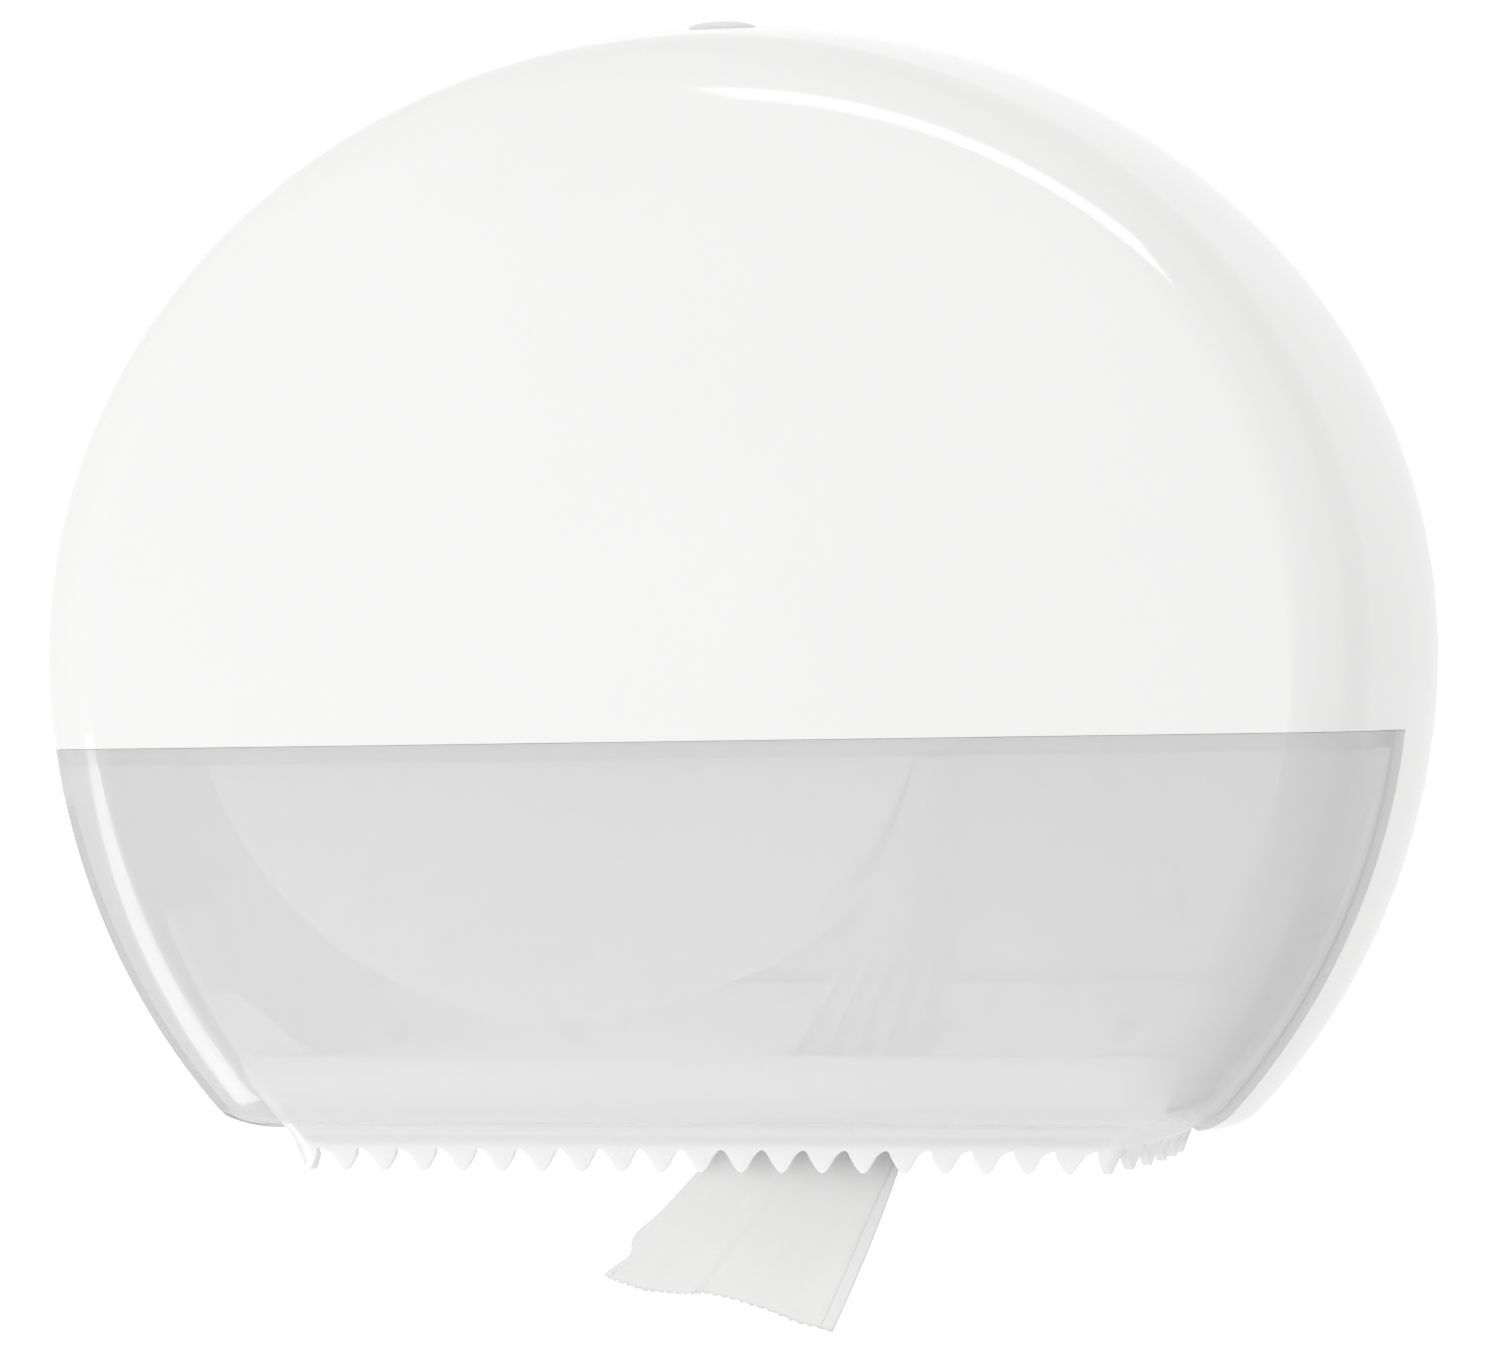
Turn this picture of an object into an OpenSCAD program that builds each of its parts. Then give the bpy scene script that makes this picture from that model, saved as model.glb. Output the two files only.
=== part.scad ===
// Jumbo toilet roll dispenser for a wall: a hinged cover with a window over a roll, a stub
// roll place and a toothed paper chute. Sizes in millimetres.
// x runs to the right, y runs into the wall and z runs up. The wall face is y = 0.
// Modules work in depths in front of the wall and in heights above the cover's bottom edge;
// in_frame() then moves the part so that the origin is the centre of the wall screws.

/* [Cover outline] */
// Overall width of the wall plate and the cover's rim
body_w = 437; // [425:1:450]
// Height from the bottom edge to the widest line
waist_h = 152; // [148:1:156]
// Height of the crown above the widest line
crown_h = 200; // [190:1:208]
// Radius of the two lower side curves
side_r = 216; // [205:1:230]
// Radius of the two bottom corners
corner_r = 19; // [15:0.5:24]
// Wall thickness of the cover
cover_wall = 2.5; // [2:0.1:3.2]

/* [Cover profile] */
// Overall depth from the wall to the middle of the face
body_depth = 133; // [128:0.5:140]
// Depth at which the cover's rear edge stands off the wall
rim_depth = 5.5; // [5.2:0.1:6.5]
// Depth at which the face fillet starts
fillet_depth = 100; // [96:0.5:104]
// How far the sides lean in from the rim to the fillet
side_lean = 17; // [12:0.5:19]
// Rise of the domed face from the fillet to the middle
face_dome = 8.2; // [5:0.1:11]
// How far the fillet runs in over the face
fillet_in = 18; // [14:0.5:22]

/* [Window] */
// Height of the straight joint between the cover and the window
window_top_h = 124.7; // [115:0.1:132]
// Depth of the joint along the sides
window_depth = 56; // [46:0.5:64]
// Gap in the joint between the cover and the window
seam_gap = 0.15; // [0.1:0.01:0.3]
// Width of the window's flange behind the joint
flange_w = 5; // [3:0.1:7]

/* [Wall plate] */
// Thickness of the wall plate
plate_t = 3; // [2.5:0.1:3.2]
// Height of the stiffening rim that stands inside the cover
plate_rim_depth = 13; // [10:0.5:16]
// Distance from the plate's edge to its stiffening rim
plate_rim_inset = 5; // [4.5:0.1:7]
// Spacing of the wall screw holes across
screw_span_x = 258; // [240:1:262]
// Spacing of the wall screw holes up and down
screw_span_z = 180; // [160:1:190]
// Height of the lower wall screw holes
screw_low_h = 67; // [60:1:75]
// Radius of the wall screw holes
screw_hole_r = 3; // [2.5:0.1:3.5]

/* [Chute and tear bar] */
// Depth of the chute's front wall, outside
chute_depth = 93.2; // [88:0.1:94]
// Wall thickness of the chute
chute_wall = 2.2; // [1.8:0.1:2.8]
// Height of the chute's front wall between its shoulders
chute_sill_h = 30; // [24:0.5:32]
// Height of the chute's shoulders
chute_shoulder_h = 49; // [44:0.5:54]
// Height of the chute's side wings
chute_wing_h = 73; // [66:0.5:80]
// Thickness of the tear bar
bar_wall = 2; // [1.6:0.1:2.2]
// Distance from one tooth to the next
tooth_pitch = 12.3; // [10:0.1:14]
// Height of a tooth from valley to tip
tooth_h = 6.8; // [4:0.1:8]
// How far the tips reach below the cover's bottom edge
tip_drop = 4.9; // [3:0.1:6]

/* [Rolls] */
// Sideways place of the main roll's axis
roll_x = -41; // [-45:1:-38]
// Height of the main roll's axis
roll_h = 155; // [150:1:165]
// Radius of the main roll
roll_r = 114; // [90:1:116]
// Depth at which the main roll starts
roll_depth = 16; // [15.6:0.1:18]
// Width of the paper
paper_w = 92; // [86:1:94]
// Inner radius of the main roll's core
core_r = 29.5; // [27:0.5:31]
// Radius of the main roll's fixed axle
axle_r = 12; // [10:0.5:13]
// Sideways place of the stub roll's axis
stub_x = 137; // [130:1:142]
// Height of the stub roll's axis
stub_h = 165; // [155:1:180]
// Radius of the stub hub over its fins
stub_hub_r = 19.5; // [16:0.5:22]
// Running clearance of each hub on its axle
run_gap = 0.08; // [0.02:0.01:0.1]

/* [Hinge and lock] */
// Depth of the hinge axis
hinge_depth = 13; // [12.8:0.1:14]
// Height of the hinge axis
hinge_h = 6; // [5.8:0.1:6.6]
// Radius of the hinge pins
hinge_pin_r = 2; // [1.5:0.1:2.4]
// Depth of the lock's axis
lock_depth = 36; // [34:0.5:38]
// How far the lock button stands above the cover
button_proud = 2.5; // [1:0.1:4]
// Travel of the lock button
button_travel = 3; // [2:0.1:3.2]
// Length of the lock button
button_l = 21; // [18:0.5:21.5]
// Width of the lock button
button_w = 13; // [11:0.5:13.5]
// Reach of the latch cam from the lock's axis
cam_reach = 20; // [19:0.1:21]

/* [Paper tail] */
// Thickness of the bunched tissue
tail_t = 0.8; // [0.5:0.1:1.2]
// Depth of the gathered tissue behind the teeth
tail_depth = 84; // [80:0.5:85]

/* [Hidden] */

fit_gap = 0.1;
free_gap = 0.3;
smooth = 64;
small_smooth = 32;
mount_h = screw_low_h + screw_span_z / 2;

// ---- Outline of the cover at a given lean and inward offset ----
// A lean moves the sides in; the crown and the bottom edge follow by these shares.
crown_share = 0.95;
bottom_share = 0.5;
function half_w(lean, off) = body_w / 2 - lean - off;
function arc_r(lean, off) = side_r - lean / 2 - off;
function arc_x(lean) = half_w(lean, 0) - arc_r(lean, 0);
function bottom_z(lean, off) = bottom_share * lean + off;
function corner_drop(lean) = waist_h - bottom_z(lean, 0) - corner_r;
function corner_x(lean) = arc_x(lean)
    + sqrt(pow(arc_r(lean, 0) - corner_r, 2) - pow(corner_drop(lean), 2));
function corner_angle(lean) = atan2(corner_drop(lean), corner_x(lean) - arc_x(lean));
function split_angle(lean, off, split_h) = asin((waist_h - split_h) / arc_r(lean, off));

// A point of the upper outline; angles below 0 and above 180 lie on the lower side curves.
function upper_point(lean, off, a) =
    a < 0 ? [arc_x(lean) + arc_r(lean, off) * cos(a), waist_h + arc_r(lean, off) * sin(a)]
    : a > 180 ? [-upper_point(lean, off, 180 - a)[0], upper_point(lean, off, 180 - a)[1]]
    : [half_w(lean, off) * cos(a),
       waist_h + (crown_h - crown_share * lean - off) * sin(a)];
function corner_point(lean, off, a) = [
    corner_x(lean) + (corner_r - off) * cos(a),
    bottom_z(lean, 0) + corner_r - (corner_r - off) * sin(a)];

// Counts of steps along the outline: the upper part, then side, corner and flat below it.
upper_n = 40;
side_n = 8;
corner_n = 5;
flat_n = 8;
lower_n = 2 * side_n + 2 * corner_n + flat_n;
loop_n = upper_n + lower_n;

// The right half of the lower outline runs from the joint down to the flat bottom.
function lower_half(lean, off, split_h) = [
    for (i = [0:side_n])
        let (a0 = split_angle(lean, off, split_h))
        upper_point(lean, off, -(a0 + (corner_angle(lean) - a0) * i / side_n)),
    for (i = [1:corner_n])
        let (a0 = corner_angle(lean))
        corner_point(lean, off, a0 + (90 - a0) * i / corner_n)];
function mirrored(points) = [for (p = points) [-p[0], p[1]]];
function flat_points(lean, off) = [
    for (i = [1:flat_n - 1])
        [corner_x(lean) * (2 * i / flat_n - 1), bottom_z(lean, off)]];

// Angles of the upper part: two steps from the joint to each widest point, even steps between.
waist_n = 2;
function upper_angle(i, a0) =
    i < waist_n ? -a0 * (waist_n - i) / waist_n
    : i > upper_n - waist_n ? 180 + a0 * (i - upper_n + waist_n) / waist_n
    : 180 * (i - waist_n) / (upper_n - 2 * waist_n);

// One whole ring: over the top from right to left, then under from left to right.
function ring(lean, off, split_h) =
    let (a0 = split_angle(lean, off, split_h),
         right = lower_half(lean, off, split_h),
         left = mirrored(right))
    concat(
        [for (i = [0:upper_n]) upper_point(lean, off, upper_angle(i, a0))],
        [for (i = [1:len(left) - 1]) left[i]],
        flat_points(lean, off),
        [for (i = [len(right) - 1:-1:1]) right[i]]);

// ---- Profile of the cover from its rear edge to the face ----
lean_power = 1.35;
lean_slope = lean_power * side_lean / (fillet_depth - rim_depth);
fillet_end = 82;
fillet_rise = (body_depth - face_dome - fillet_depth) / sin(fillet_end);
function wall_lean(d) = side_lean * pow((d - rim_depth) / (fillet_depth - rim_depth), lean_power);
function wall_tilt(d) = d <= rim_depth ? 0
    : atan(lean_slope * pow((d - rim_depth) / (fillet_depth - rim_depth), lean_power - 1));
rear_n = 3;
front_n = 3;
fillet_n = 4;
face_n = 6;
edge_row = rear_n + front_n + fillet_n;
last_row = edge_row + face_n;

// Each ring row is [depth, lean, tilt of the wall's normal towards the room].
function wall_rows(split_depth) = [
    for (i = [0:rear_n])
        let (d = rim_depth + (split_depth - rim_depth) * i / rear_n)
        [d, wall_lean(d), wall_tilt(d)],
    for (i = [1:front_n])
        let (d = split_depth + (fillet_depth - split_depth) * i / front_n)
        [d, wall_lean(d), wall_tilt(d)],
    for (i = [1:fillet_n])
        let (a = fillet_end * i / fillet_n, rise = fillet_rise * sin(a), a0 = atan(lean_slope))
        [fillet_depth + rise,
         side_lean + lean_slope * rise + fillet_in * (1 - cos(a)),
         a0 + (fillet_end - a0) * a / fillet_end]];

function ring_points(row, off, split_h) = [
    for (p = ring(row[1], off * cos(row[2]), split_h))
        [p[0], -(row[0] - off * sin(row[2])), p[1]]];

// Face rows run from the last ring to the straight joint, where the dome is deepest.
function joint_x(i, x_end) = i <= upper_n ? x_end * cos(180 * i / upper_n)
    : -x_end * cos(180 * (i - upper_n) / lower_n);
function face_point(p, i, x_end, y_edge, split_h, r) =
    let (x = p[0] + (joint_x(i, x_end) - p[0]) * r,
         dome = face_dome * (1 - pow(joint_x(i, x_end) / x_end, 2)))
    [x, y_edge - dome * (1 - pow(1 - r, 2)), p[2] + (split_h - p[2]) * r];

// All rows of points of the cover's skin at one offset and one place of the joint.
function skin(split_h, split_depth, off) =
    let (rows = wall_rows(split_depth),
         rings = [for (row = rows) ring_points(row, off, split_h)],
         edge = rings[edge_row])
    concat(rings, [
        for (k = [1:face_n]) [
            for (i = [0:loop_n - 1])
                face_point(edge[i], i, edge[0][0], edge[0][1], split_h, k / face_n)]]);
function flat_list(rows) = [for (row = rows) for (p = row) p];

// Number of a point in the flat list; on the face both ends of the joint are single points.
function id(row, i) =
    row > edge_row && (i == 0 || i == upper_n) ? edge_row * loop_n + i
    : row * loop_n + (i % loop_n);
function quad_faces(a, b, c, d) = [
    for (f = [[a, b, c], [a, c, d]]) if (f[0] != f[1] && f[1] != f[2] && f[2] != f[0]) f];
function patch(row0, row1, i0, i1) = [
    for (r = [row0:row1 - 1]) for (i = [i0:i1 - 1])
        each quad_faces(id(r, i), id(r + 1, i), id(r + 1, i + 1), id(r, i + 1))];
function shifted(faces, n) = [for (f = faces) [f[2] + n, f[1] + n, f[0] + n]];
function band(loop_a, loop_b) = [
    for (k = [0:len(loop_a) - 1])
        let (m = (k + 1) % len(loop_a))
        each quad_faces(loop_a[k], loop_a[m], loop_b[m], loop_b[k])];
function plus(list, n) = [for (v = list) v + n];

// The edge of the window's place, once round: under it, up one side, along the joint, down.
window_loop = concat(
    [for (i = [upper_n:loop_n]) id(rear_n, i)],
    [for (r = [rear_n + 1:edge_row]) id(r, 0)],
    [for (i = [loop_n - 1:-1:upper_n + 1]) id(last_row, i)],
    [for (r = [edge_row:-1:rear_n + 1]) id(r, upper_n)]);
shell_loop = concat(
    [for (i = [upper_n:loop_n]) id(rear_n, i)],
    [for (r = [rear_n + 1:edge_row]) id(r, 0)],
    [for (i = [1:upper_n - 1]) id(last_row, i)],
    [for (r = [edge_row:-1:rear_n + 1]) id(r, upper_n)]);
rim_loop = [for (i = [0:loop_n - 1]) id(0, i)];

module shell_skin() {
    outside = flat_list(skin(window_top_h, window_depth, 0));
    inside = flat_list(skin(window_top_h, window_depth, cover_wall));
    n = len(outside);
    faces = concat(patch(0, rear_n, 0, loop_n), patch(rear_n, last_row, 0, upper_n));
    polyhedron(
        points = concat(outside, inside),
        faces = concat(faces, shifted(faces, n),
            band(rim_loop, plus(rim_loop, n)),
            band(plus(shell_loop, n), shell_loop)));
}

// Points of the window's loop on the skin at another offset and place.
function loop_points(split_h, split_depth, off) =
    let (all = flat_list(skin(split_h, split_depth, off))) [for (v = window_loop) all[v]];

module window_skin() {
    top = window_top_h - seam_gap;
    side = window_depth + seam_gap;
    under = cover_wall + free_gap;
    outside = flat_list(skin(top, side, 0));
    inside = flat_list(skin(top - flange_w, side + flange_w, cover_wall));
    n = len(outside);
    m = len(window_loop);
    steps = [
        loop_points(top, side, under),
        loop_points(top + flange_w, side - flange_w, under),
        loop_points(top + flange_w, side - flange_w, under + cover_wall),
        loop_points(top - flange_w, side + flange_w, under + cover_wall)];
    faces = patch(rear_n, last_row, upper_n, loop_n);
    step_ids = [for (s = [0:len(steps) - 1]) [for (k = [0:m - 1]) 2 * n + s * m + k]];
    polyhedron(
        points = concat(outside, inside, flat_list(steps)),
        faces = concat(faces, shifted(faces, n),
            band(window_loop, step_ids[0]),
            band(step_ids[0], step_ids[1]),
            band(step_ids[1], step_ids[2]),
            band(step_ids[2], step_ids[3]),
            band(step_ids[3], plus(window_loop, n))));
}

// ---- Small helpers: places are x, depth from the wall and height ----
module in_frame() { translate([0, 0, -mount_h]) children(); }
module post_y(x, h, d0, d1, r, n = smooth) {
    translate([x, -d0, h]) rotate([90, 0, 0]) cylinder(h = d1 - d0, r = r, $fn = n);
}
module post_x(x0, x1, d, h, r) {
    translate([x0, -d, h]) rotate([0, 90, 0]) cylinder(h = x1 - x0, r = r, $fn = small_smooth);
}
module post_z(x, d, h0, h1, r) {
    translate([x, -d, h0]) cylinder(h = h1 - h0, r = r, $fn = small_smooth);
}
module block(x0, x1, d0, d1, h0, h1) {
    translate([x0, -d1, h0]) cube([x1 - x0, d1 - d0, h1 - h0]);
}
module both_sides() {
    children();
    mirror([1, 0, 0]) children();
}
// A slot with round ends, upright on the wall plate.
module upright_slot(x, h0, h1, r, d0, d1) {
    post_y(x, h0, d0, d1, r, small_smooth);
    post_y(x, h1, d0, d1, r, small_smooth);
    block(x - r, x + r, d0, d1, h0, h1);
}
// The slab inside the cover's outline, from one depth to another.
module outline_slab(off, d0, d1) {
    translate([0, -d0, 0]) rotate([90, 0, 0]) linear_extrude(d1 - d0)
        polygon(ring(0, off, window_top_h));
}
// A pan-head screw that points at the wall: its seat is the depth under the head.
screw_head_h = 2.2;
screw_r = 1.7;
wide_head_r = 3.4;
small_head_r = 3;
module screw_y(x, h, seat, shank_l, shank_r, head_r) {
    post_y(x, h, seat - shank_l, seat, shank_r + grown(), small_smooth);
    post_y(x, h, seat, seat + screw_head_h, head_r, small_smooth);
}
// The same screws with a slightly larger shank cut their own holes.
function grown() = is_undef($grow) ? 0 : $grow;
module grow_screws() {
    $grow = fit_gap / 2;
    children();
}
// Joins two grids of points, row by row, into one closed wall.
function grid_ids(rows, cols, n) = [
    for (r = [0:rows - 2]) for (c = [0:cols - 2])
        let (a = r * cols + c)
        each [[a + n, a + 1 + n, a + cols + 1 + n], [a + n, a + cols + 1 + n, a + cols + n]]];
function grid_edge(rows, cols) = concat(
    [for (c = [0:cols - 2]) c],
    [for (r = [0:rows - 2]) r * cols + cols - 1],
    [for (c = [cols - 1:-1:1]) (rows - 1) * cols + c],
    [for (r = [rows - 1:-1:1]) r * cols]);
module grid_wall(front, back) {
    rows = len(front);
    cols = len(front[0]);
    n = rows * cols;
    edge = grid_edge(rows, cols);
    polyhedron(
        points = concat(flat_list(front), flat_list(back)),
        faces = concat(
            grid_ids(rows, cols, 0),
            [for (f = grid_ids(rows, cols, n)) [f[2], f[1], f[0]]],
            band(plus(edge, n), edge)));
}
// A tube swept along a list of points whose sections stand square to the path.
function section(p, side, up, r, sides) = [
    for (k = [0:sides - 1]) p + r * (cos(360 * k / sides) * side + sin(360 * k / sides) * up)];
module coil(radius, wire_r, turns, length, sides = 6, steps = 16) {
    count = ceil(turns * steps);
    rings = [
        for (i = [0:count])
            let (a = 360 * turns * i / count, out = [cos(a), sin(a), 0])
            section(radius * out + [0, 0, length * i / count], out, [0, 0, 1], wire_r, sides)];
    polyhedron(
        points = flat_list(rings),
        faces = concat(
            [for (i = [0:count - 1]) for (k = [0:sides - 1])
                let (a = i * sides + k, b = i * sides + (k + 1) % sides)
                each [[a, b, b + sides], [a, b + sides, a + sides]]],
            [[for (k = [sides - 1:-1:0]) k]],
            [[for (k = [0:sides - 1]) count * sides + k]]));
}

// ---- Wall plate ----
plate_rim_t = 2.4;
edge_flange_w = 4;
edge_flange_depth = rim_depth - 0.5;
corner_relief_h = 30;
pad_depth = plate_t + 3;
pad_bite = 2.2;
screw_slot_l = 10;
screw_slot_r = screw_hole_r + 0.8;
screw_slot_wall = 3.5;
screw_slot_floor = pad_depth - 2;
spindle_pad_r = 44;
stub_pad_r = 25;
side_rib_x = screw_span_x / 2 - 17;
rib_t = 1.8;
low_rib = [80, 124];
high_rib = [200, waist_h + crown_h - 52];
over = 1;
ear_t = 4.2;
ear_r = 4.6;
notch_margin = 10;
notch_half = rim_x(0) - notch_margin;
notch_depth = 112;
notch_h = 14;
lug_gap = 0.4;

module screw_places() {
    for (x = [-1, 1]) for (z = [0, 1])
        translate([x * screw_span_x / 2, 0, screw_low_h + z * screw_span_z]) children();
}
module back_plate() {
    color("white") in_frame() difference() {
        union() {
            outline_slab(0, 0, plate_t);
            difference() {
                outline_slab(0, plate_t, edge_flange_depth);
                outline_slab(edge_flange_w, plate_t - over, edge_flange_depth + over);
                block(-body_w, body_w, 0, edge_flange_depth + over, -over, corner_relief_h);
            }
            difference() {
                outline_slab(plate_rim_inset, plate_t, plate_rim_depth);
                outline_slab(plate_rim_inset + plate_rim_t, plate_t - over, plate_rim_depth + over);
                block(-body_w, body_w, 0, plate_rim_depth + over, -over, corner_relief_h);
            }
            screw_places() upright_slot(0, 0, screw_slot_l, screw_slot_r + screw_slot_wall,
                                        plate_t, pad_depth);
            post_y(roll_x, roll_h, plate_t, pad_depth, spindle_pad_r);
            post_y(stub_x, stub_h, plate_t, pad_depth, stub_pad_r);
            both_sides() {
                for (rib = [low_rib, high_rib])
                    block(side_rib_x, side_rib_x + rib_t, plate_t, pad_depth, rib[0], rib[1]);
                block(notch_half - lug_gap - ear_t, notch_half - lug_gap,
                      plate_t, hinge_depth, hinge_h - ear_r, hinge_h + ear_r);
                post_x(notch_half - lug_gap - ear_t, notch_half - lug_gap,
                       hinge_depth, hinge_h, ear_r);
            }
            block(-side_rib_x - rib_t, side_rib_x + rib_t, plate_t, pad_depth,
                  high_rib[1], high_rib[1] + rib_t);
        }
        screw_places() {
            post_y(0, 0, -over, pad_depth + over, screw_hole_r);
            upright_slot(0, 0, screw_slot_l, screw_slot_r, screw_slot_floor, pad_depth + over);
        }
        both_sides() post_x(notch_half - lug_gap - ear_t - over, notch_half, hinge_depth, hinge_h,
                            hinge_pin_r + fit_gap / 2);
        grow_screws() spindle_screw_shapes();
        grow_screws() stub_screw_shapes();
        grow_screws() chute_screw_shapes();
        grow_screws() strike_screw_shapes();
    }
}

// ---- Cover ----
lug_l = 5.6;
lug_r = 5.2;
lug_end_wall = 0.6;
lock_top = waist_h + crown_h - crown_share * wall_lean(lock_depth);
button_clear = 0.4;
button_cut_h = 12;
boss_x = 20;
boss_r = 4;
boss_bore_r = 1.6;
boss_bore_end = lock_top - cover_wall - 1;
housing_top = lock_top - cover_wall - 2;
housing_ear_h = housing_top - 4;

module oblong(l, w, h0, h1) {
    half = (l - w) / 2;
    post_z(-half, lock_depth, h0, h1, w / 2);
    post_z(half, lock_depth, h0, h1, w / 2);
    block(-half, half, lock_depth - w / 2, lock_depth + w / 2, h0, h1);
}
module bottom_notch() {
    block(-notch_half, notch_half, 0, notch_depth, -over, notch_h);
}
module cover_shell() {
    color("white") in_frame() difference() {
        union() {
            shell_skin();
            both_sides() {
                post_x(notch_half + lug_gap / 2, notch_half + lug_l, hinge_depth, hinge_h, lug_r);
                post_z(boss_x, lock_depth, housing_ear_h, lock_top - cover_wall, boss_r);
            }
        }
        bottom_notch();
        both_sides() {
            post_x(notch_half - over, notch_half + lug_l + over, hinge_depth, hinge_h,
                   hinge_pin_r + run_gap);
            post_z(boss_x, lock_depth, housing_ear_h - over, boss_bore_end, boss_bore_r);
        }
        oblong(button_l + 2 * button_clear, button_w + 2 * button_clear,
               lock_top - button_cut_h, lock_top + button_cut_h);
    }
}
module cover_window() {
    color([0.85, 0.86, 0.87, 0.6]) in_frame() difference() {
        window_skin();
        bottom_notch();
    }
}
module hinge_pins() {
    color("silver") in_frame() both_sides()
        post_x(notch_half - lug_gap - ear_t - over, notch_half + lug_l - lug_end_wall,
               hinge_depth, hinge_h, hinge_pin_r);
}

// ---- Chute and tear bar ----
chute_bottom_h = 3;
chute_rear_h = 18;
chute_rear_depth = 24;
rear_step = 0.1;
chute_inset = 19.5;
chute_corner_r = 3;
chute_corner_a = 25;
side_end = chute_depth - chute_corner_r * (1 - sin(chute_corner_a));
flare = tan(chute_corner_a) * (side_end - chute_rear_depth) / 2;
function rim_x(h) = arc_x(0) + sqrt(pow(side_r, 2) - pow(waist_h - h, 2));
function side_share(d) = max(0, (d - chute_rear_depth) / (side_end - chute_rear_depth));
// Below the cover's bottom edge the plan stays the same, so the teeth stand straight down.
function chute_x(h, d) = rim_x(max(h, 0)) - chute_inset - flare * pow(side_share(d), 2);
function side_turn(d) = atan(2 * flare * side_share(d) / (side_end - chute_rear_depth));
function bend_x(h) = chute_x(h, side_end) - chute_corner_r * cos(chute_corner_a);
bend_depth = side_end - chute_corner_r * sin(chute_corner_a);

// A place on the chute's plan: on a side at a depth, on a corner at an angle, or on the front.
function on_side(d, h, off) = let (a = side_turn(d))
    [chute_x(h, d) + off * cos(a), -d - off * sin(a), h];
function on_corner(a, h, off) = [
    bend_x(h) + (chute_corner_r + off) * cos(a), -bend_depth - (chute_corner_r + off) * sin(a), h];
function on_front(q, h, off) = [q * bend_x(h), -chute_depth - off, h];
function ease(t) = t <= 0 ? 0 : t >= 1 ? 1 : t * t * (3 - 2 * t);

// The chute's right half: each station is [kind, value, bottom height, top height].
SIDE = 0;
CORNER = 1;
FRONT = 2;
shoulder_from = 0.84;
shoulder_to = 0.95;
wing_from = 40;
wing_run = 25;
side_steps = 10;
corner_stops = [chute_corner_a + 10, 45, 55, 65, 90];
front_stops = [0.98, 0.95, 0.93, 0.91, 0.89, 0.87, 0.84, 0.6, 0.3];
function front_top(q) = chute_sill_h
    + (chute_shoulder_h - chute_sill_h) * ease((abs(q) - shoulder_from) / (shoulder_to - shoulder_from));
function corner_top(a) = chute_shoulder_h
    + (chute_wing_h - chute_shoulder_h) * (1 - ease((a - wing_from) / wing_run));
half_stations = concat(
    [for (d = [plate_t, plate_rim_depth, chute_rear_depth - rear_step])
        [SIDE, d, chute_rear_h, chute_wing_h]],
    [for (k = [0:side_steps])
        let (d = chute_rear_depth + (side_end - chute_rear_depth) * k / side_steps)
        [SIDE, d, chute_bottom_h, chute_wing_h]],
    [for (a = corner_stops) [CORNER, a, chute_bottom_h, corner_top(a)]],
    [for (q = front_stops) [FRONT, q, chute_bottom_h, front_top(q)]]);
function place(s, h, off) = s[0] == SIDE ? on_side(s[1], h, off)
    : s[0] == CORNER ? on_corner(s[1], h, off)
    : on_front(s[1], h, off);
function flip(p) = [-p[0], p[1], p[2]];
chute_levels = 6;
function chute_column(s, off) = [
    for (k = [0:chute_levels]) place(s, s[2] + (s[3] - s[2]) * k / chute_levels, off)];
function chute_grid(off) =
    let (right = [for (s = half_stations) chute_column(s, off)],
         middle = chute_column([FRONT, 0, chute_bottom_h, chute_sill_h], off))
    concat(right, [middle], [
        for (i = [len(right) - 1:-1:0]) [for (p = right[i]) flip(p)]]);

chute_back_t = 2.5;
chute_back_top = 46;
chute_back_low = 12;
chute_back_half = 132;
chute_screw_x = [60, 118];
chute_screw_h = 30;
plate_bite = 2.4;
module chute_screw_shapes() {
    both_sides() for (x = chute_screw_x)
        screw_y(x, chute_screw_h, plate_t + chute_back_t, chute_back_t + plate_bite,
                screw_r, wide_head_r);
}
module paper_chute() {
    color([0.93, 0.93, 0.93]) in_frame() difference() {
        union() {
            grid_wall(chute_grid(-chute_wall), chute_grid(0));
            block(-chute_x(chute_rear_h, 0), chute_x(chute_rear_h, 0),
                  plate_t, plate_t + chute_back_t, chute_rear_h, chute_back_top);
            block(-chute_back_half, chute_back_half, plate_t, plate_t + chute_back_t,
                  chute_back_low, chute_rear_h + over);
        }
        grow_screws() chute_screw_shapes();
    }
}
module chute_screws() {
    color("silver") in_frame() chute_screw_shapes();
}

// The tear bar follows the chute's plan at a small gap; its teeth are a wave along that plan.
bar_gap = free_gap;
bead_t = 0.8;
bead_h = 3;
bar_side_top = 12;
steps_per_tooth = 6;
front_run = bend_x(0);
corner_run = (chute_corner_r + bar_gap + bar_wall) * (90 - chute_corner_a) * PI / 180;
side_run = (side_end - chute_rear_depth) / cos(chute_corner_a / 2);
bar_steps = floor((front_run + corner_run + side_run) * steps_per_tooth / tooth_pitch);
function tooth_low(s) = -tip_drop + tooth_h * pow(sin(180 * s / tooth_pitch), 2);
function bar_station(s) =
    s <= front_run ? [FRONT, s / front_run]
    : s <= front_run + corner_run
        ? [CORNER, 90 - (90 - chute_corner_a) * (s - front_run) / corner_run]
    : [SIDE, side_end - (s - front_run - corner_run) / side_run * (side_end - chute_rear_depth)];
top_from = front_run - 2;
top_run = corner_run + 14;
function bar_top(s) = bar_side_top + (chute_sill_h - bar_side_top)
    * (1 - ease((s - top_from) / top_run));
bar_levels = 2;
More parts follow.
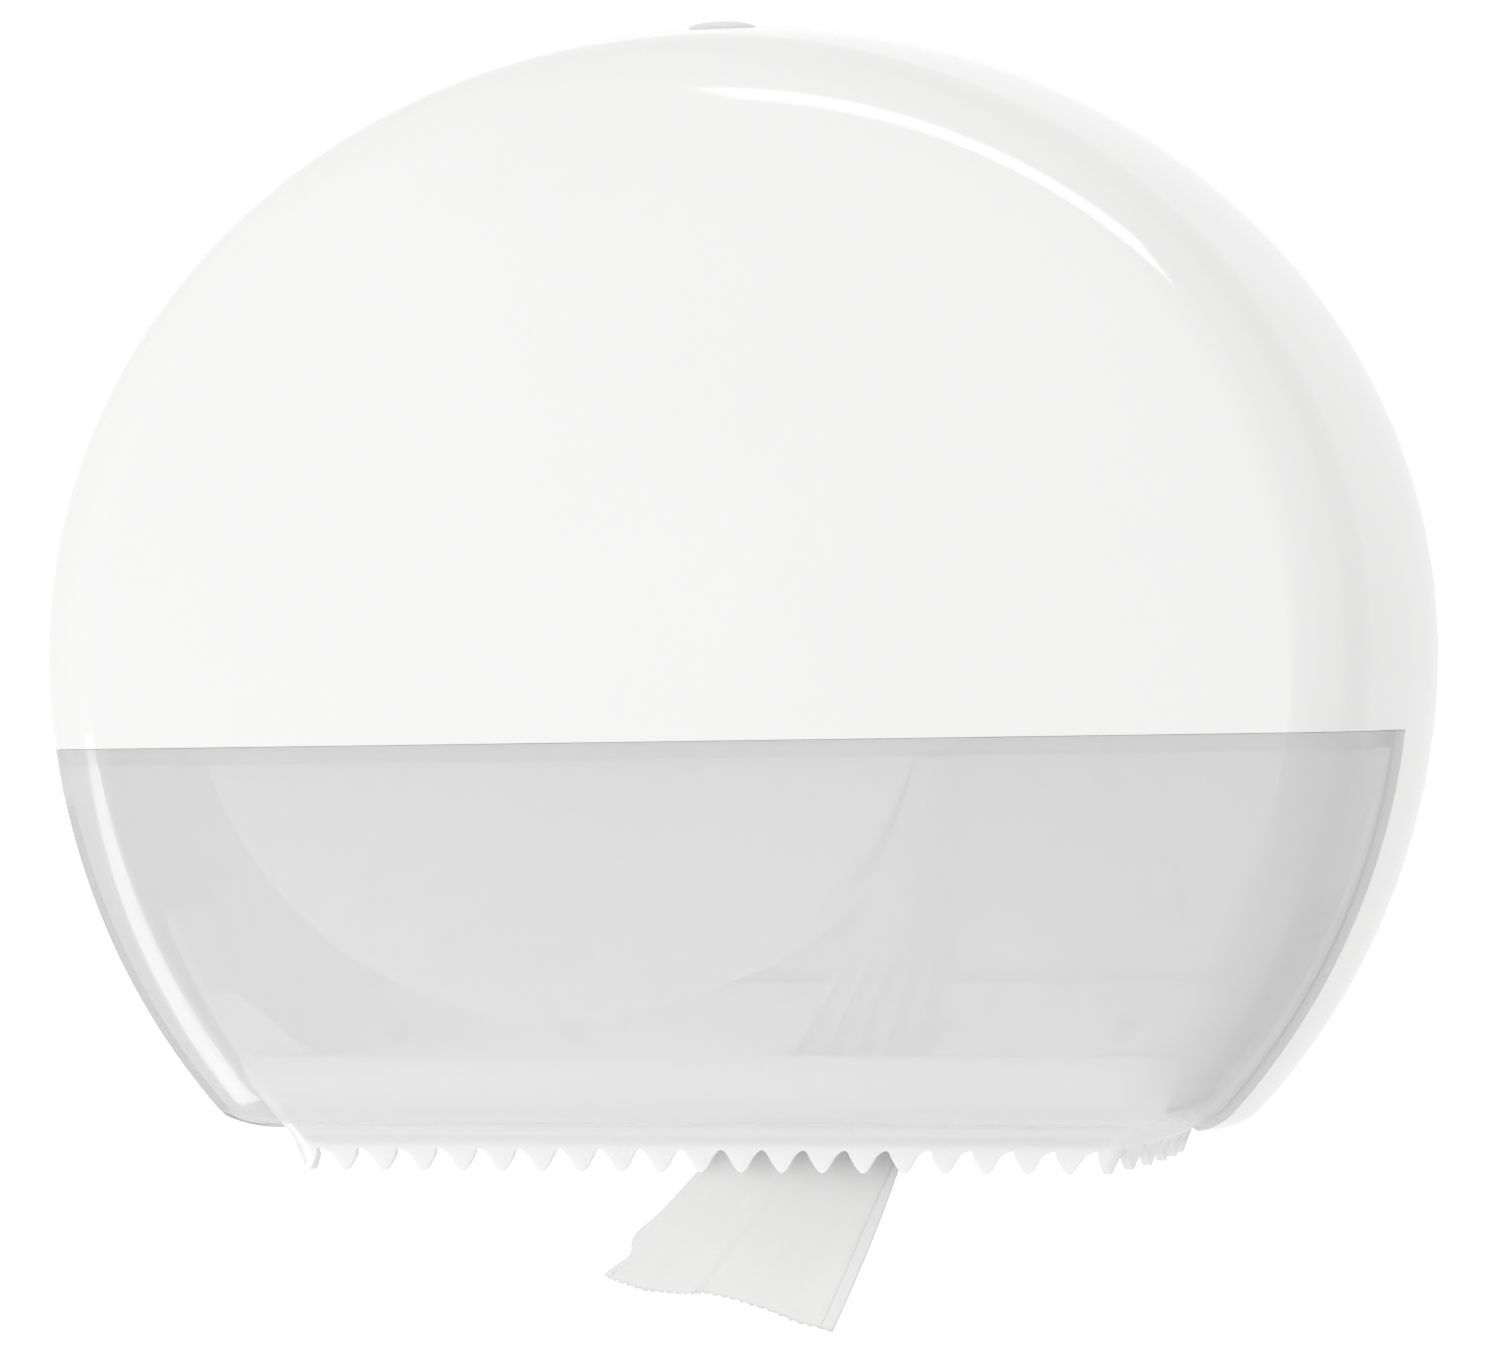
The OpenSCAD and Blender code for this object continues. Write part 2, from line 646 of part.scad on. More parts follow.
function bar_column(s, off, bead) =
    let (st = bar_station(s), foot = bead_h + bead)
    concat([place(st, tooth_low(s), off + bead), place(st, bead_h, off + bead)],
        [for (k = [0:bar_levels])
            place(st, foot + (bar_top(s) - foot) * k / bar_levels, off)]);
function bar_grid(off, bead) =
    let (right = [for (k = [bar_steps:-1:1])
            bar_column(k * tooth_pitch / steps_per_tooth, off, bead)])
    concat(right, [bar_column(0, off, bead)], [
        for (i = [len(right) - 1:-1:0]) [for (p = right[i]) flip(p)]]);
module tear_bar() {
    color("whitesmoke") in_frame()
        grid_wall(bar_grid(bar_gap, 0), bar_grid(bar_gap + bar_wall, bead_t));
}

// ---- Main roll: axle, brake, hub and paper ----
flange_t = 2.5;
spindle_flange_r = 40;
spindle_seat = pad_depth + flange_t;
spindle_screw_r = 31;
spindle_screw_a = [90, 210, 330];
axle_end = roll_depth + paper_w - 8;
axle_wall = 3;
cap_t = 2.8;
cap_lip = 5;
cap_screw_l = 18;
cap_screw_r = 2.4;
cap_screw_head_r = 4.4;
hub_flange_t = 2;
hub_wall = 3.4;
hub_fins = 6;
fin_t = 2.2;
brake_pad_t = 2.1;
brake_pad_depth = roll_depth - hub_flange_t - free_gap - brake_pad_t;
brake_wire_r = 0.6;
brake_coil_r = 20;
brake_turns = 1.6;
brake_pad_r = 26;
core_lip = 7;
sleeve_tip = 3;

module spindle_screw_shapes() {
    for (a = spindle_screw_a)
        screw_y(roll_x + spindle_screw_r * cos(a), roll_h + spindle_screw_r * sin(a),
                spindle_seat, flange_t + pad_bite, screw_r, wide_head_r);
}
module main_spindle() {
    color("white") in_frame() difference() {
        union() {
            post_y(roll_x, roll_h, pad_depth, spindle_seat, spindle_flange_r);
            post_y(roll_x, roll_h, pad_depth, axle_end, axle_r);
        }
        post_y(roll_x, roll_h, pad_depth - over, axle_end - cap_screw_l - axle_wall,
               axle_r - axle_wall);
        post_y(roll_x, roll_h, axle_end - cap_screw_l, axle_end + over,
               cap_screw_r + fit_gap / 2);
        grow_screws() spindle_screw_shapes();
    }
}
module spindle_screws() {
    color("silver") in_frame() spindle_screw_shapes();
}
module brake_spring() {
    color("silver") in_frame()
        translate([roll_x, -spindle_seat - brake_wire_r, roll_h]) rotate([90, 0, 0])
            coil(brake_coil_r, brake_wire_r, brake_turns,
                 brake_pad_depth - spindle_seat - 2 * brake_wire_r);
}
module brake_pad() {
    color("dimgray") in_frame() difference() {
        post_y(roll_x, roll_h, brake_pad_depth, brake_pad_depth + brake_pad_t, brake_pad_r);
        post_y(roll_x, roll_h, brake_pad_depth - over, brake_pad_depth + brake_pad_t + over,
               axle_r + free_gap);
    }
}
// A hub: a sleeve on its axle with a flange behind the roll and fins that carry the core.
module hub_shape(x, h, bore_r, d0, d1, flange_r, fins, tip_r) {
    difference() {
        union() {
            post_y(x, h, d0, d1, bore_r + hub_wall);
            post_y(x, h, d0, d0 + hub_flange_t, flange_r);
            intersection() {
                post_y(x, h, d0, d1 - sleeve_tip, tip_r);
                for (k = [0:fins - 1])
                    translate([x, 0, h]) rotate([0, 360 * k / fins, 0])
                        block(0, tip_r + over, d0, d1, -fin_t / 2, fin_t / 2);
            }
        }
        post_y(x, h, d0 - over, d1 + over, bore_r);
    }
}
module roll_hub() {
    color("lightsteelblue") in_frame()
        hub_shape(roll_x, roll_h, axle_r + run_gap, roll_depth - hub_flange_t,
                  axle_end - free_gap, core_r + core_lip, hub_fins, core_r - fit_gap);
}
module hub_cap() {
    color("white") in_frame() difference() {
        post_y(roll_x, roll_h, axle_end, axle_end + cap_t, axle_r + cap_lip);
        post_y(roll_x, roll_h, axle_end - over, axle_end + cap_t + over,
               cap_screw_r + fit_gap / 2);
    }
}
module hub_cap_screw() {
    color("silver") in_frame()
        screw_y(roll_x, roll_h, axle_end + cap_t, cap_screw_l, cap_screw_r, cap_screw_head_r);
}
core_wall = 1.5;
module core_tube() {
    color("tan") in_frame() difference() {
        post_y(roll_x, roll_h, roll_depth, roll_depth + paper_w, core_r + core_wall);
        post_y(roll_x, roll_h, roll_depth - over, roll_depth + paper_w + over, core_r);
    }
}
module paper_roll() {
    color("whitesmoke") in_frame() difference() {
        post_y(roll_x, roll_h, roll_depth, roll_depth + paper_w, roll_r, 2 * smooth);
        post_y(roll_x, roll_h, roll_depth - over, roll_depth + paper_w + over,
               core_r + core_wall);
    }
}

// ---- Stub roll place ----
stub_axle_r = 7;
stub_flange_r = 22;
stub_screw_r = 16;
stub_end = 88;
stub_fins = 4;
stub_lip = 3;
stub_cap_lip = 4;
stub_spigot_r = 4;
stub_spigot_l = 10;
module stub_screw_shapes() {
    for (a = spindle_screw_a)
        screw_y(stub_x + stub_screw_r * cos(a), stub_h + stub_screw_r * sin(a),
                spindle_seat, flange_t + pad_bite, screw_r, small_head_r);
}
module stub_spindle() {
    color("white") in_frame() difference() {
        union() {
            post_y(stub_x, stub_h, pad_depth, spindle_seat, stub_flange_r);
            post_y(stub_x, stub_h, pad_depth, stub_end, stub_axle_r);
        }
        post_y(stub_x, stub_h, stub_end - stub_spigot_l - over, stub_end + over,
               stub_spigot_r + fit_gap / 2);
        grow_screws() stub_screw_shapes();
    }
}
module stub_screws() {
    color("silver") in_frame() stub_screw_shapes();
}
module stub_hub() {
    color("lightsteelblue") in_frame()
        hub_shape(stub_x, stub_h, stub_axle_r + run_gap, spindle_seat + screw_head_h + 2 * free_gap,
                  stub_end - free_gap, stub_hub_r + stub_lip, stub_fins, stub_hub_r);
}
module stub_cap() {
    color("white") in_frame() {
        post_y(stub_x, stub_h, stub_end, stub_end + cap_t, stub_axle_r + stub_cap_lip);
        post_y(stub_x, stub_h, stub_end - stub_spigot_l, stub_end + over, stub_spigot_r);
    }
}

// ---- Lock ----
housing_wall = 1.6;
pocket_gap = 0.3;
pocket_l = button_l + 2 * pocket_gap;
pocket_w = button_w + 2 * pocket_gap;
housing_l = 22;
floor_top = housing_top - housing_l;
floor_t = 4;
housing_ear_x = boss_x + 6;
housing_ear_w = 14;
housing_ear_t = 4;
lock_screw_r = 1.5;
button_bottom = floor_top + 12;
button_top = lock_top + button_proud;
button_coil_r = 4.2;
button_wire_r = 0.5;
button_turns = 5;
coil_clear = 0.1;
barrel_r = 4;
barrel_l = 12;
keyhole = [5.6, 1.2, 3];
shaft_r = 2.5;
cam_t = 5;
cam_top = floor_top - floor_t - 2;
cam_hub_r = 6;
cam_screw_r = 1;
cam_screw_head_t = 2;
nose_l = 3.5;
nose_top = cam_top + button_travel + 1;
nose_w = 8;

module lock_screw_shapes() {
    both_sides() {
        post_z(boss_x, lock_depth, housing_ear_h - housing_ear_t, housing_top, lock_screw_r);
        post_z(boss_x, lock_depth, housing_ear_h - housing_ear_t - screw_head_h,
               housing_ear_h - housing_ear_t, small_head_r);
    }
}
module lock_housing() {
    color("gainsboro") in_frame() difference() {
        union() {
            block(-pocket_l / 2 - housing_wall, pocket_l / 2 + housing_wall,
                  lock_depth - pocket_w / 2 - housing_wall, lock_depth + pocket_w / 2 + housing_wall,
                  floor_top - floor_t, housing_top);
            both_sides() block(pocket_l / 2, housing_ear_x, lock_depth - housing_ear_w / 2,
                               lock_depth + housing_ear_w / 2,
                               housing_ear_h - housing_ear_t, housing_ear_h);
        }
        oblong(pocket_l, pocket_w, floor_top, housing_top + over);
        post_z(0, lock_depth, floor_top - floor_t - over, floor_top + over, shaft_r + pocket_gap);
        both_sides() post_z(boss_x, lock_depth, housing_ear_h - housing_ear_t - over,
                            housing_ear_h + over, boss_bore_r);
    }
}
module lock_screws() {
    color("silver") in_frame() lock_screw_shapes();
}
module lock_button() {
    color("gainsboro") in_frame() difference() {
        oblong(button_l, button_w, button_bottom, button_top);
        post_z(0, lock_depth, button_top - barrel_l, button_top + over, barrel_r + run_gap);
        post_z(0, lock_depth, button_bottom - over, button_top, shaft_r + run_gap);
    }
}
module button_spring() {
    color("silver") in_frame()
        translate([0, -lock_depth, floor_top + button_wire_r + coil_clear])
            coil(button_coil_r, button_wire_r, button_turns,
                 button_bottom - floor_top - 2 * (button_wire_r + coil_clear), 6, 12);
}
module key_cylinder() {
    color("silver") in_frame() difference() {
        union() {
            post_z(0, lock_depth, button_top - barrel_l, button_top, barrel_r);
            post_z(0, lock_depth, cam_top - cam_t, button_top - over, shaft_r);
        }
        block(-keyhole[0] / 2, keyhole[0] / 2, lock_depth - keyhole[1] / 2,
              lock_depth + keyhole[1] / 2, button_top - keyhole[2], button_top + over);
        post_z(0, lock_depth, cam_top - cam_t - over, cam_top + over, cam_screw_r + fit_gap / 2);
    }
}
// The cam is drawn in its released place; a quarter turn puts its nose behind the strike.
module latch_cam() {
    color("silver") in_frame() difference() {
        union() {
            post_z(0, lock_depth, cam_top - cam_t, cam_top, cam_hub_r);
            block(0, cam_reach, lock_depth - nose_w / 2, lock_depth + nose_w / 2,
                  cam_top - cam_t, cam_top);
            block(cam_reach - nose_l, cam_reach, lock_depth - nose_w / 2, lock_depth + nose_w / 2,
                  cam_top - over, nose_top);
        }
        post_z(0, lock_depth, cam_top - cam_t - over, cam_top + over, shaft_r + fit_gap / 2);
    }
}
module cam_screw() {
    color("silver") in_frame() {
        post_z(0, lock_depth, cam_top - cam_t, cam_top, cam_screw_r);
        post_z(0, lock_depth, cam_top - cam_t - cam_screw_head_t, cam_top - cam_t, wide_head_r);
    }
}
// The strike hangs a lip in front of the turned cam's nose.
strike_t = 2.5;
lip_gap = 1.5;
lip_front = lock_depth - cam_reach + nose_l + lip_gap + strike_t;
lip_overlap = 2.5;
lip_low = nose_top - lip_overlap;
strike_w = 12;
strike_base_w = 30;
strike_top = lip_low + 14;
strike_head = 9;
strike_screw_x = 10.5;
module strike_screw_shapes() {
    both_sides() screw_y(strike_screw_x, strike_top + strike_head / 2, plate_t + strike_t,
                         strike_t + plate_bite, screw_r, small_head_r);
}
module latch_strike() {
    color("silver") in_frame() difference() {
        union() {
            block(-strike_base_w / 2, strike_base_w / 2, plate_t, plate_t + strike_t,
                  lip_low, strike_top + strike_head);
            block(-strike_w / 2, strike_w / 2, plate_t, lip_front, strike_top - strike_t, strike_top);
            block(-strike_w / 2, strike_w / 2, lip_front - strike_t, lip_front, lip_low, strike_top);
        }
        grow_screws() strike_screw_shapes();
    }
}
module strike_screws() {
    color("silver") in_frame() strike_screw_shapes();
}

// ---- Paper tail: leaves the roll, twists through the chute and hangs behind the teeth ----
leave_a = 18.4;
tail_x = roll_x + roll_r * cos(leave_a) + tail_t / 2 + 2 * free_gap;
tail_h = roll_h - roll_r * sin(leave_a);
tail_rows = 22;
tail_cols = 22;
tail_folds = 3.5;
fold_t = 2.2;
function curve(p, t) = pow(1 - t, 3) * p[0] + 3 * pow(1 - t, 2) * t * p[1]
    + 3 * (1 - t) * t * t * p[2] + pow(t, 3) * p[3];
left_edge = [[tail_x, -102, tail_h], [tail_x - 19, -tail_depth, 60], [16, -tail_depth + 1, 12],
             [-32, -tail_depth, -37.5]];
right_edge = [[tail_x, -roll_depth - 2, tail_h], [tail_x + 8, -40, 72], [71, -tail_depth, 14],
              [38.4, -tail_depth, -53.3]];
function tail_point(t, w, off) =
    let (p = curve(left_edge, t) * (1 - w) + curve(right_edge, t) * w,
         turn = 90 * ease(t / 0.8),
         fold = fold_t * ease((t - 0.2) / 0.5) * sin(360 * tail_folds * w + 40),
         wave = 2.5 * ease((t - 0.8) / 0.2) * sin(540 * w))
    p + (fold + off) * [cos(turn), -sin(turn), 0] + [0, 0, wave];
function tail_grid(off) = [
    for (i = [0:tail_rows]) [for (j = [0:tail_cols]) tail_point(i / tail_rows, j / tail_cols, off)]];
module paper_tail() {
    color("whitesmoke") in_frame() grid_wall(tail_grid(tail_t / 2), tail_grid(-tail_t / 2));
}

back_plate();
cover_shell();
cover_window();
paper_chute();
tear_bar();
chute_screws();
hinge_pins();
main_spindle();
spindle_screws();
brake_spring();
brake_pad();
roll_hub();
hub_cap();
hub_cap_screw();
core_tube();
paper_roll();
stub_spindle();
stub_screws();
stub_hub();
stub_cap();
lock_housing();
lock_screws();
lock_button();
button_spring();
key_cylinder();
latch_cam();
cam_screw();
latch_strike();
strike_screws();
paper_tail();
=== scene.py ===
"""Looks of a wall-mounted jumbo toilet roll dispenser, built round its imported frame."""
import math

import bmesh
import bpy
import numpy as np
from mathutils import Matrix, Vector


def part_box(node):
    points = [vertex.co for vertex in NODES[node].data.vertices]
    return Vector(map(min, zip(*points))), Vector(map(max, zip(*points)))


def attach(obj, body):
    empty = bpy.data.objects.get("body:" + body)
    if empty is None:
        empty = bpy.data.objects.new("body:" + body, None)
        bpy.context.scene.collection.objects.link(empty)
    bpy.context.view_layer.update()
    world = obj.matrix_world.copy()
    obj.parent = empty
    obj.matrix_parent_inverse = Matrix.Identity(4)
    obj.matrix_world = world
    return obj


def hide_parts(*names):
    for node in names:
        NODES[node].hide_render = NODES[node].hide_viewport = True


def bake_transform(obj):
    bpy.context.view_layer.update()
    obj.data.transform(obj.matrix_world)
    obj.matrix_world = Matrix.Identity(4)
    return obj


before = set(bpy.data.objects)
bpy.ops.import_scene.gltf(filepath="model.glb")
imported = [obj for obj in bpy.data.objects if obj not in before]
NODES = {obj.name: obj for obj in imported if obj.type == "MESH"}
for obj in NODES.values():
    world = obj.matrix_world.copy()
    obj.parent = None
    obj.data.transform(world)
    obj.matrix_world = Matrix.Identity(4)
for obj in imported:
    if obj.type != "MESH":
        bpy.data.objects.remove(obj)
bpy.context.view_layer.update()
MM = 0.001
MOUNT_H = 157.0  # height of the frame's origin above the cover's bottom edge

# ---- Sizes, in millimetres, from the part's source ----
BODY_W, BODY_DEPTH = 437.0, 133.0
WAIST_H, CROWN_H = 152.0, 200.0
SIDE_R, CORNER_R = 216.0, 19.0
RIM_DEPTH, FILLET_DEPTH = 5.5, 100.0
SIDE_LEAN, FACE_DOME = 17.0, 8.2
FILLET_IN, FILLET_END = 18.0, 82.0
WALL, FREE, SEAM, FLANGE = 2.5, 0.3, 0.15, 5.0
WINDOW_TOP, WINDOW_DEPTH = 124.7, 56.0
NOTCH_HALF, NOTCH_DEPTH, NOTCH_H = 146.0, 112.0, 14.0
LEAN_POWER, CROWN_SHARE, BOTTOM_SHARE = 1.35, 0.95, 0.5
LEAN_SLOPE = LEAN_POWER * SIDE_LEAN / (FILLET_DEPTH - RIM_DEPTH)
FILLET_RISE = (BODY_DEPTH - FACE_DOME - FILLET_DEPTH) / math.sin(math.radians(FILLET_END))
MERGE_M = 1e-7  # points nearer than this, in metres, become one


# ---- Meshes ----
def frame_points(points):
    """Millimetres with heights above the cover's bottom edge, to metres in the shared frame."""
    p = np.asarray(points, float).reshape(-1, 3) * MM
    p[:, 2] -= MOUNT_H * MM
    return p


def new_object(name, data):
    obj = bpy.data.objects.new(name, data)
    bpy.context.scene.collection.objects.link(obj)
    return obj


def closed_object(name, points, faces):
    """An object from points in millimetres, with joined seams and outward normals."""
    mesh = bpy.data.meshes.new(name)
    mesh.from_pydata([tuple(p) for p in frame_points(points)], [], [tuple(f) for f in faces])
    mesh.validate()
    obj = new_object(name, mesh)
    bm = bmesh.new()
    bm.from_mesh(mesh)
    bmesh.ops.remove_doubles(bm, verts=bm.verts, dist=MERGE_M)
    bmesh.ops.recalc_face_normals(bm, faces=bm.faces)
    bm.to_mesh(mesh)
    bm.free()
    return obj


def mesh_object(name, points, faces, body, slot):
    """A closed piece; it rides the body, if one is given."""
    obj = closed_object(name, points, faces)
    if body:
        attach(obj, body)
    return obj


def shade(obj, angle=32.0):
    """Smooth faces, with sharp edges where two faces meet at more than the angle."""
    bm = bmesh.new()
    bm.from_mesh(obj.data)
    limit = math.radians(angle)
    for face in bm.faces:
        face.smooth = True
    for edge in bm.edges:
        if len(edge.link_faces) == 2:
            edge.smooth = edge.calc_face_angle(0.0) < limit
    bm.to_mesh(obj.data)
    bm.free()


def ring_grid(rows, n, closed=False):
    """Faces between rows of n points that each close on themselves."""
    faces = []
    for r in range(rows if closed else rows - 1):
        s = (r + 1) % rows
        for i in range(n):
            k = (i + 1) % n
            faces.append((r * n + i, r * n + k, s * n + k, s * n + i))
    return faces


def end_caps(rows, n):
    return [tuple(range(n)), tuple((rows - 1) * n + i for i in reversed(range(n)))]


def box_cutter(x0, x1, d0, d1, h0, h1):
    corners = [(x, -d, h) for x in (x0, x1) for d in (d0, d1) for h in (h0, h1)]
    faces = [(0, 1, 3, 2), (4, 6, 7, 5), (0, 4, 5, 1), (2, 3, 7, 6), (0, 2, 6, 4), (1, 5, 7, 3)]
    return closed_object("cutter", corners, faces)


def oblong_cutter(length, width, depth, h0, h1, steps=24):
    """An upright slot with round ends, centred on x = 0."""
    half, r = (length - width) / 2, width / 2
    outline = []
    for side in (1, -1):
        for k in range(steps + 1):
            a = math.pi * (k / steps - 0.5)
            outline.append((side * (half + r * math.cos(a)), depth + side * r * math.sin(a)))
    points = [(x, -d, h) for h in (h0, h1) for x, d in outline]
    n = len(outline)
    return closed_object("cutter", points, end_caps(2, n) + ring_grid(2, n))


def cut(obj, cutter):
    mod = obj.modifiers.new("cut", "BOOLEAN")
    mod.operation, mod.solver, mod.object = "DIFFERENCE", "EXACT", cutter
    depsgraph = bpy.context.evaluated_depsgraph_get()
    made = bpy.data.meshes.new_from_object(obj.evaluated_get(depsgraph))
    obj.modifiers.clear()
    old = obj.data
    obj.data = made
    bpy.data.meshes.remove(old)
    bpy.data.objects.remove(cutter)


def ease(t):
    t = min(max(t, 0.0), 1.0)
    return t * t * (3 - 2 * t)


# ---- The cover's skin: the source's form, with finer steps ----
UPPER_N, SIDE_N, CORNER_N, FLAT_N = 148, 34, 14, 44
WAIST_N = 6
LOWER_N = 2 * SIDE_N + 2 * CORNER_N + FLAT_N
LOOP_N = UPPER_N + LOWER_N
REAR_N, FRONT_N, FILLET_N, FACE_N = 8, 10, 16, 26
EDGE_ROW = REAR_N + FRONT_N + FILLET_N
LAST_ROW = EDGE_ROW + FACE_N
FACE_STEP_POWER = 1.5
CREASE_ROWS, CREASE_PASSES = 9, 40


def half_w(lean, off):
    return BODY_W / 2 - lean - off


def arc_r(lean, off):
    return SIDE_R - lean / 2 - off


def arc_x(lean):
    return half_w(lean, 0) - arc_r(lean, 0)


def bottom_z(lean, off):
    return BOTTOM_SHARE * lean + off


def corner_drop(lean):
    return WAIST_H - bottom_z(lean, 0) - CORNER_R


def corner_x(lean):
    return arc_x(lean) + math.sqrt((arc_r(lean, 0) - CORNER_R) ** 2 - corner_drop(lean) ** 2)


def corner_angle(lean):
    return math.atan2(corner_drop(lean), corner_x(lean) - arc_x(lean))


def upper_point(lean, off, a):
    if a < 0:
        r = arc_r(lean, off)
        return (arc_x(lean) + r * math.cos(a), WAIST_H + r * math.sin(a))
    if a > math.pi:
        x, h = upper_point(lean, off, math.pi - a)
        return (-x, h)
    return (half_w(lean, off) * math.cos(a),
            WAIST_H + (CROWN_H - CROWN_SHARE * lean - off) * math.sin(a))


def upper_angle(i, a0):
    if i < WAIST_N:
        return -a0 * (WAIST_N - i) / WAIST_N
    if i > UPPER_N - WAIST_N:
        return math.pi + a0 * (i - UPPER_N + WAIST_N) / WAIST_N
    return math.pi * (i - WAIST_N) / (UPPER_N - 2 * WAIST_N)


def ring(lean, off, split_h):
    """One loop of the skin: over the top from the joint, and back round the bottom."""
    a0 = math.asin((WAIST_H - split_h) / arc_r(lean, off))
    ac = corner_angle(lean)
    right = [upper_point(lean, off, -(a0 + (ac - a0) * i / SIDE_N)) for i in range(SIDE_N + 1)]
    for i in range(1, CORNER_N + 1):
        a = ac + (math.pi / 2 - ac) * i / CORNER_N
        right.append((corner_x(lean) + (CORNER_R - off) * math.cos(a),
                      bottom_z(lean, 0) + CORNER_R - (CORNER_R - off) * math.sin(a)))
    left = [(-x, h) for x, h in right]
    flat = [(corner_x(lean) * (2 * i / FLAT_N - 1), bottom_z(lean, off)) for i in range(1, FLAT_N)]
    top = [upper_point(lean, off, upper_angle(i, a0)) for i in range(UPPER_N + 1)]
    return top + left[1:] + flat + right[:0:-1]


def wall_lean(d):
    return SIDE_LEAN * ((d - RIM_DEPTH) / (FILLET_DEPTH - RIM_DEPTH)) ** LEAN_POWER


def wall_tilt(d):
    if d <= RIM_DEPTH:
        return 0.0
    share = (d - RIM_DEPTH) / (FILLET_DEPTH - RIM_DEPTH)
    return math.atan(LEAN_SLOPE * share ** (LEAN_POWER - 1))


def wall_rows(split_depth):
    """Depth, lean and tilt of each row, from the rear rim round the fillet."""
    rows = []
    for i in range(REAR_N + 1):
        d = RIM_DEPTH + (split_depth - RIM_DEPTH) * i / REAR_N
        rows.append((d, wall_lean(d), wall_tilt(d)))
    for i in range(1, FRONT_N + 1):
        d = split_depth + (FILLET_DEPTH - split_depth) * i / FRONT_N
        rows.append((d, wall_lean(d), wall_tilt(d)))
    a0, end = math.atan(LEAN_SLOPE), math.radians(FILLET_END)
    for i in range(1, FILLET_N + 1):
        a = end * i / FILLET_N
        rise = FILLET_RISE * math.sin(a)
        rows.append((FILLET_DEPTH + rise,
                     SIDE_LEAN + LEAN_SLOPE * rise + FILLET_IN * (1 - math.cos(a)),
                     a0 + (end - a0) * a / end))
    return rows


def joint_cos(i):
    if i <= UPPER_N:
        return math.cos(math.pi * i / UPPER_N)
    return -math.cos(math.pi * (i - UPPER_N) / LOWER_N)


def skin(split_h, split_depth, off):
    """Points of the skin as rows by loop; the face rows end on the straight joint."""
    grid = np.zeros((LAST_ROW + 1, LOOP_N, 3))
    for r, (d, lean, tilt) in enumerate(wall_rows(split_depth)):
        for i, (x, h) in enumerate(ring(lean, off * math.cos(tilt), split_h)):
            grid[r, i] = (x, -(d - off * math.sin(tilt)), h)
    edge = grid[EDGE_ROW]
    x_end, y_edge = edge[0][0], edge[0][1]
    shares = np.array([joint_cos(i) for i in range(LOOP_N)])
    for k in range(1, FACE_N + 1):
        r = (k / FACE_N) ** FACE_STEP_POWER
        x = edge[:, 0] + (x_end * shares - edge[:, 0]) * r
        dome = FACE_DOME * (1 - shares ** 2)
        y = y_edge - dome * (1 - (1 - r) ** 2)
        h = edge[:, 2] + (split_h - edge[:, 2]) * r
        grid[EDGE_ROW + k] = np.stack([x, y, h], 1)
    # The fillet runs into the face without a crease.
    first, last = EDGE_ROW - CREASE_ROWS, EDGE_ROW + CREASE_ROWS
    for _ in range(CREASE_PASSES):
        inner = grid[first + 1:last]
        mean = (grid[first:last - 1] + grid[first + 2:last + 1]) / 2
        grid[first + 1:last] = inner + 0.5 * (mean - inner)
    return grid


def pid(row, i):
    """A point's number; on the face, both ends of the joint are single points."""
    if row > EDGE_ROW and i % LOOP_N in (0, UPPER_N) and i <= LOOP_N:
        return EDGE_ROW * LOOP_N + (i % LOOP_N)
    return row * LOOP_N + i % LOOP_N


def quad(a, b, c, d):
    ids = []
    for v in (a, b, c, d):
        if v not in ids:
            ids.append(v)
    return [tuple(ids)] if len(ids) > 2 else []


def patch(row0, row1, i0, i1):
    faces = []
    for r in range(row0, row1):
        for i in range(i0, i1):
            faces += quad(pid(r, i), pid(r + 1, i), pid(r + 1, i + 1), pid(r, i + 1))
    return faces


def band(a, b):
    faces = []
    for k in range(len(a)):
        m = (k + 1) % len(a)
        faces += quad(a[k], a[m], b[m], b[k])
    return faces


RIM_LOOP = [pid(0, i) for i in range(LOOP_N)]
LOOP_START = ([pid(REAR_N, i) for i in range(UPPER_N, LOOP_N + 1)]
              + [pid(r, 0) for r in range(REAR_N + 1, EDGE_ROW + 1)])
LOOP_END = [pid(r, UPPER_N) for r in range(EDGE_ROW, REAR_N, -1)]
WINDOW_LOOP = LOOP_START + [pid(LAST_ROW, i) for i in range(LOOP_N - 1, UPPER_N, -1)] + LOOP_END
SHELL_LOOP = LOOP_START + [pid(LAST_ROW, i) for i in range(1, UPPER_N)] + LOOP_END


def drop_loose(points, faces):
    used = sorted({v for f in faces for v in f})
    number = {v: k for k, v in enumerate(used)}
    return points[used], [tuple(number[v] for v in f) for f in faces]


def make_shell():
    outside = skin(WINDOW_TOP, WINDOW_DEPTH, 0).reshape(-1, 3)
    inside = skin(WINDOW_TOP, WINDOW_DEPTH, WALL).reshape(-1, 3)
    n = len(outside)
    faces = patch(0, REAR_N, 0, LOOP_N) + patch(REAR_N, LAST_ROW, 0, UPPER_N)
    faces += [tuple(v + n for v in reversed(f)) for f in faces]
    faces += band(RIM_LOOP, [v + n for v in RIM_LOOP])
    faces += band([v + n for v in SHELL_LOOP], SHELL_LOOP)
    return drop_loose(np.concatenate([outside, inside]), faces)


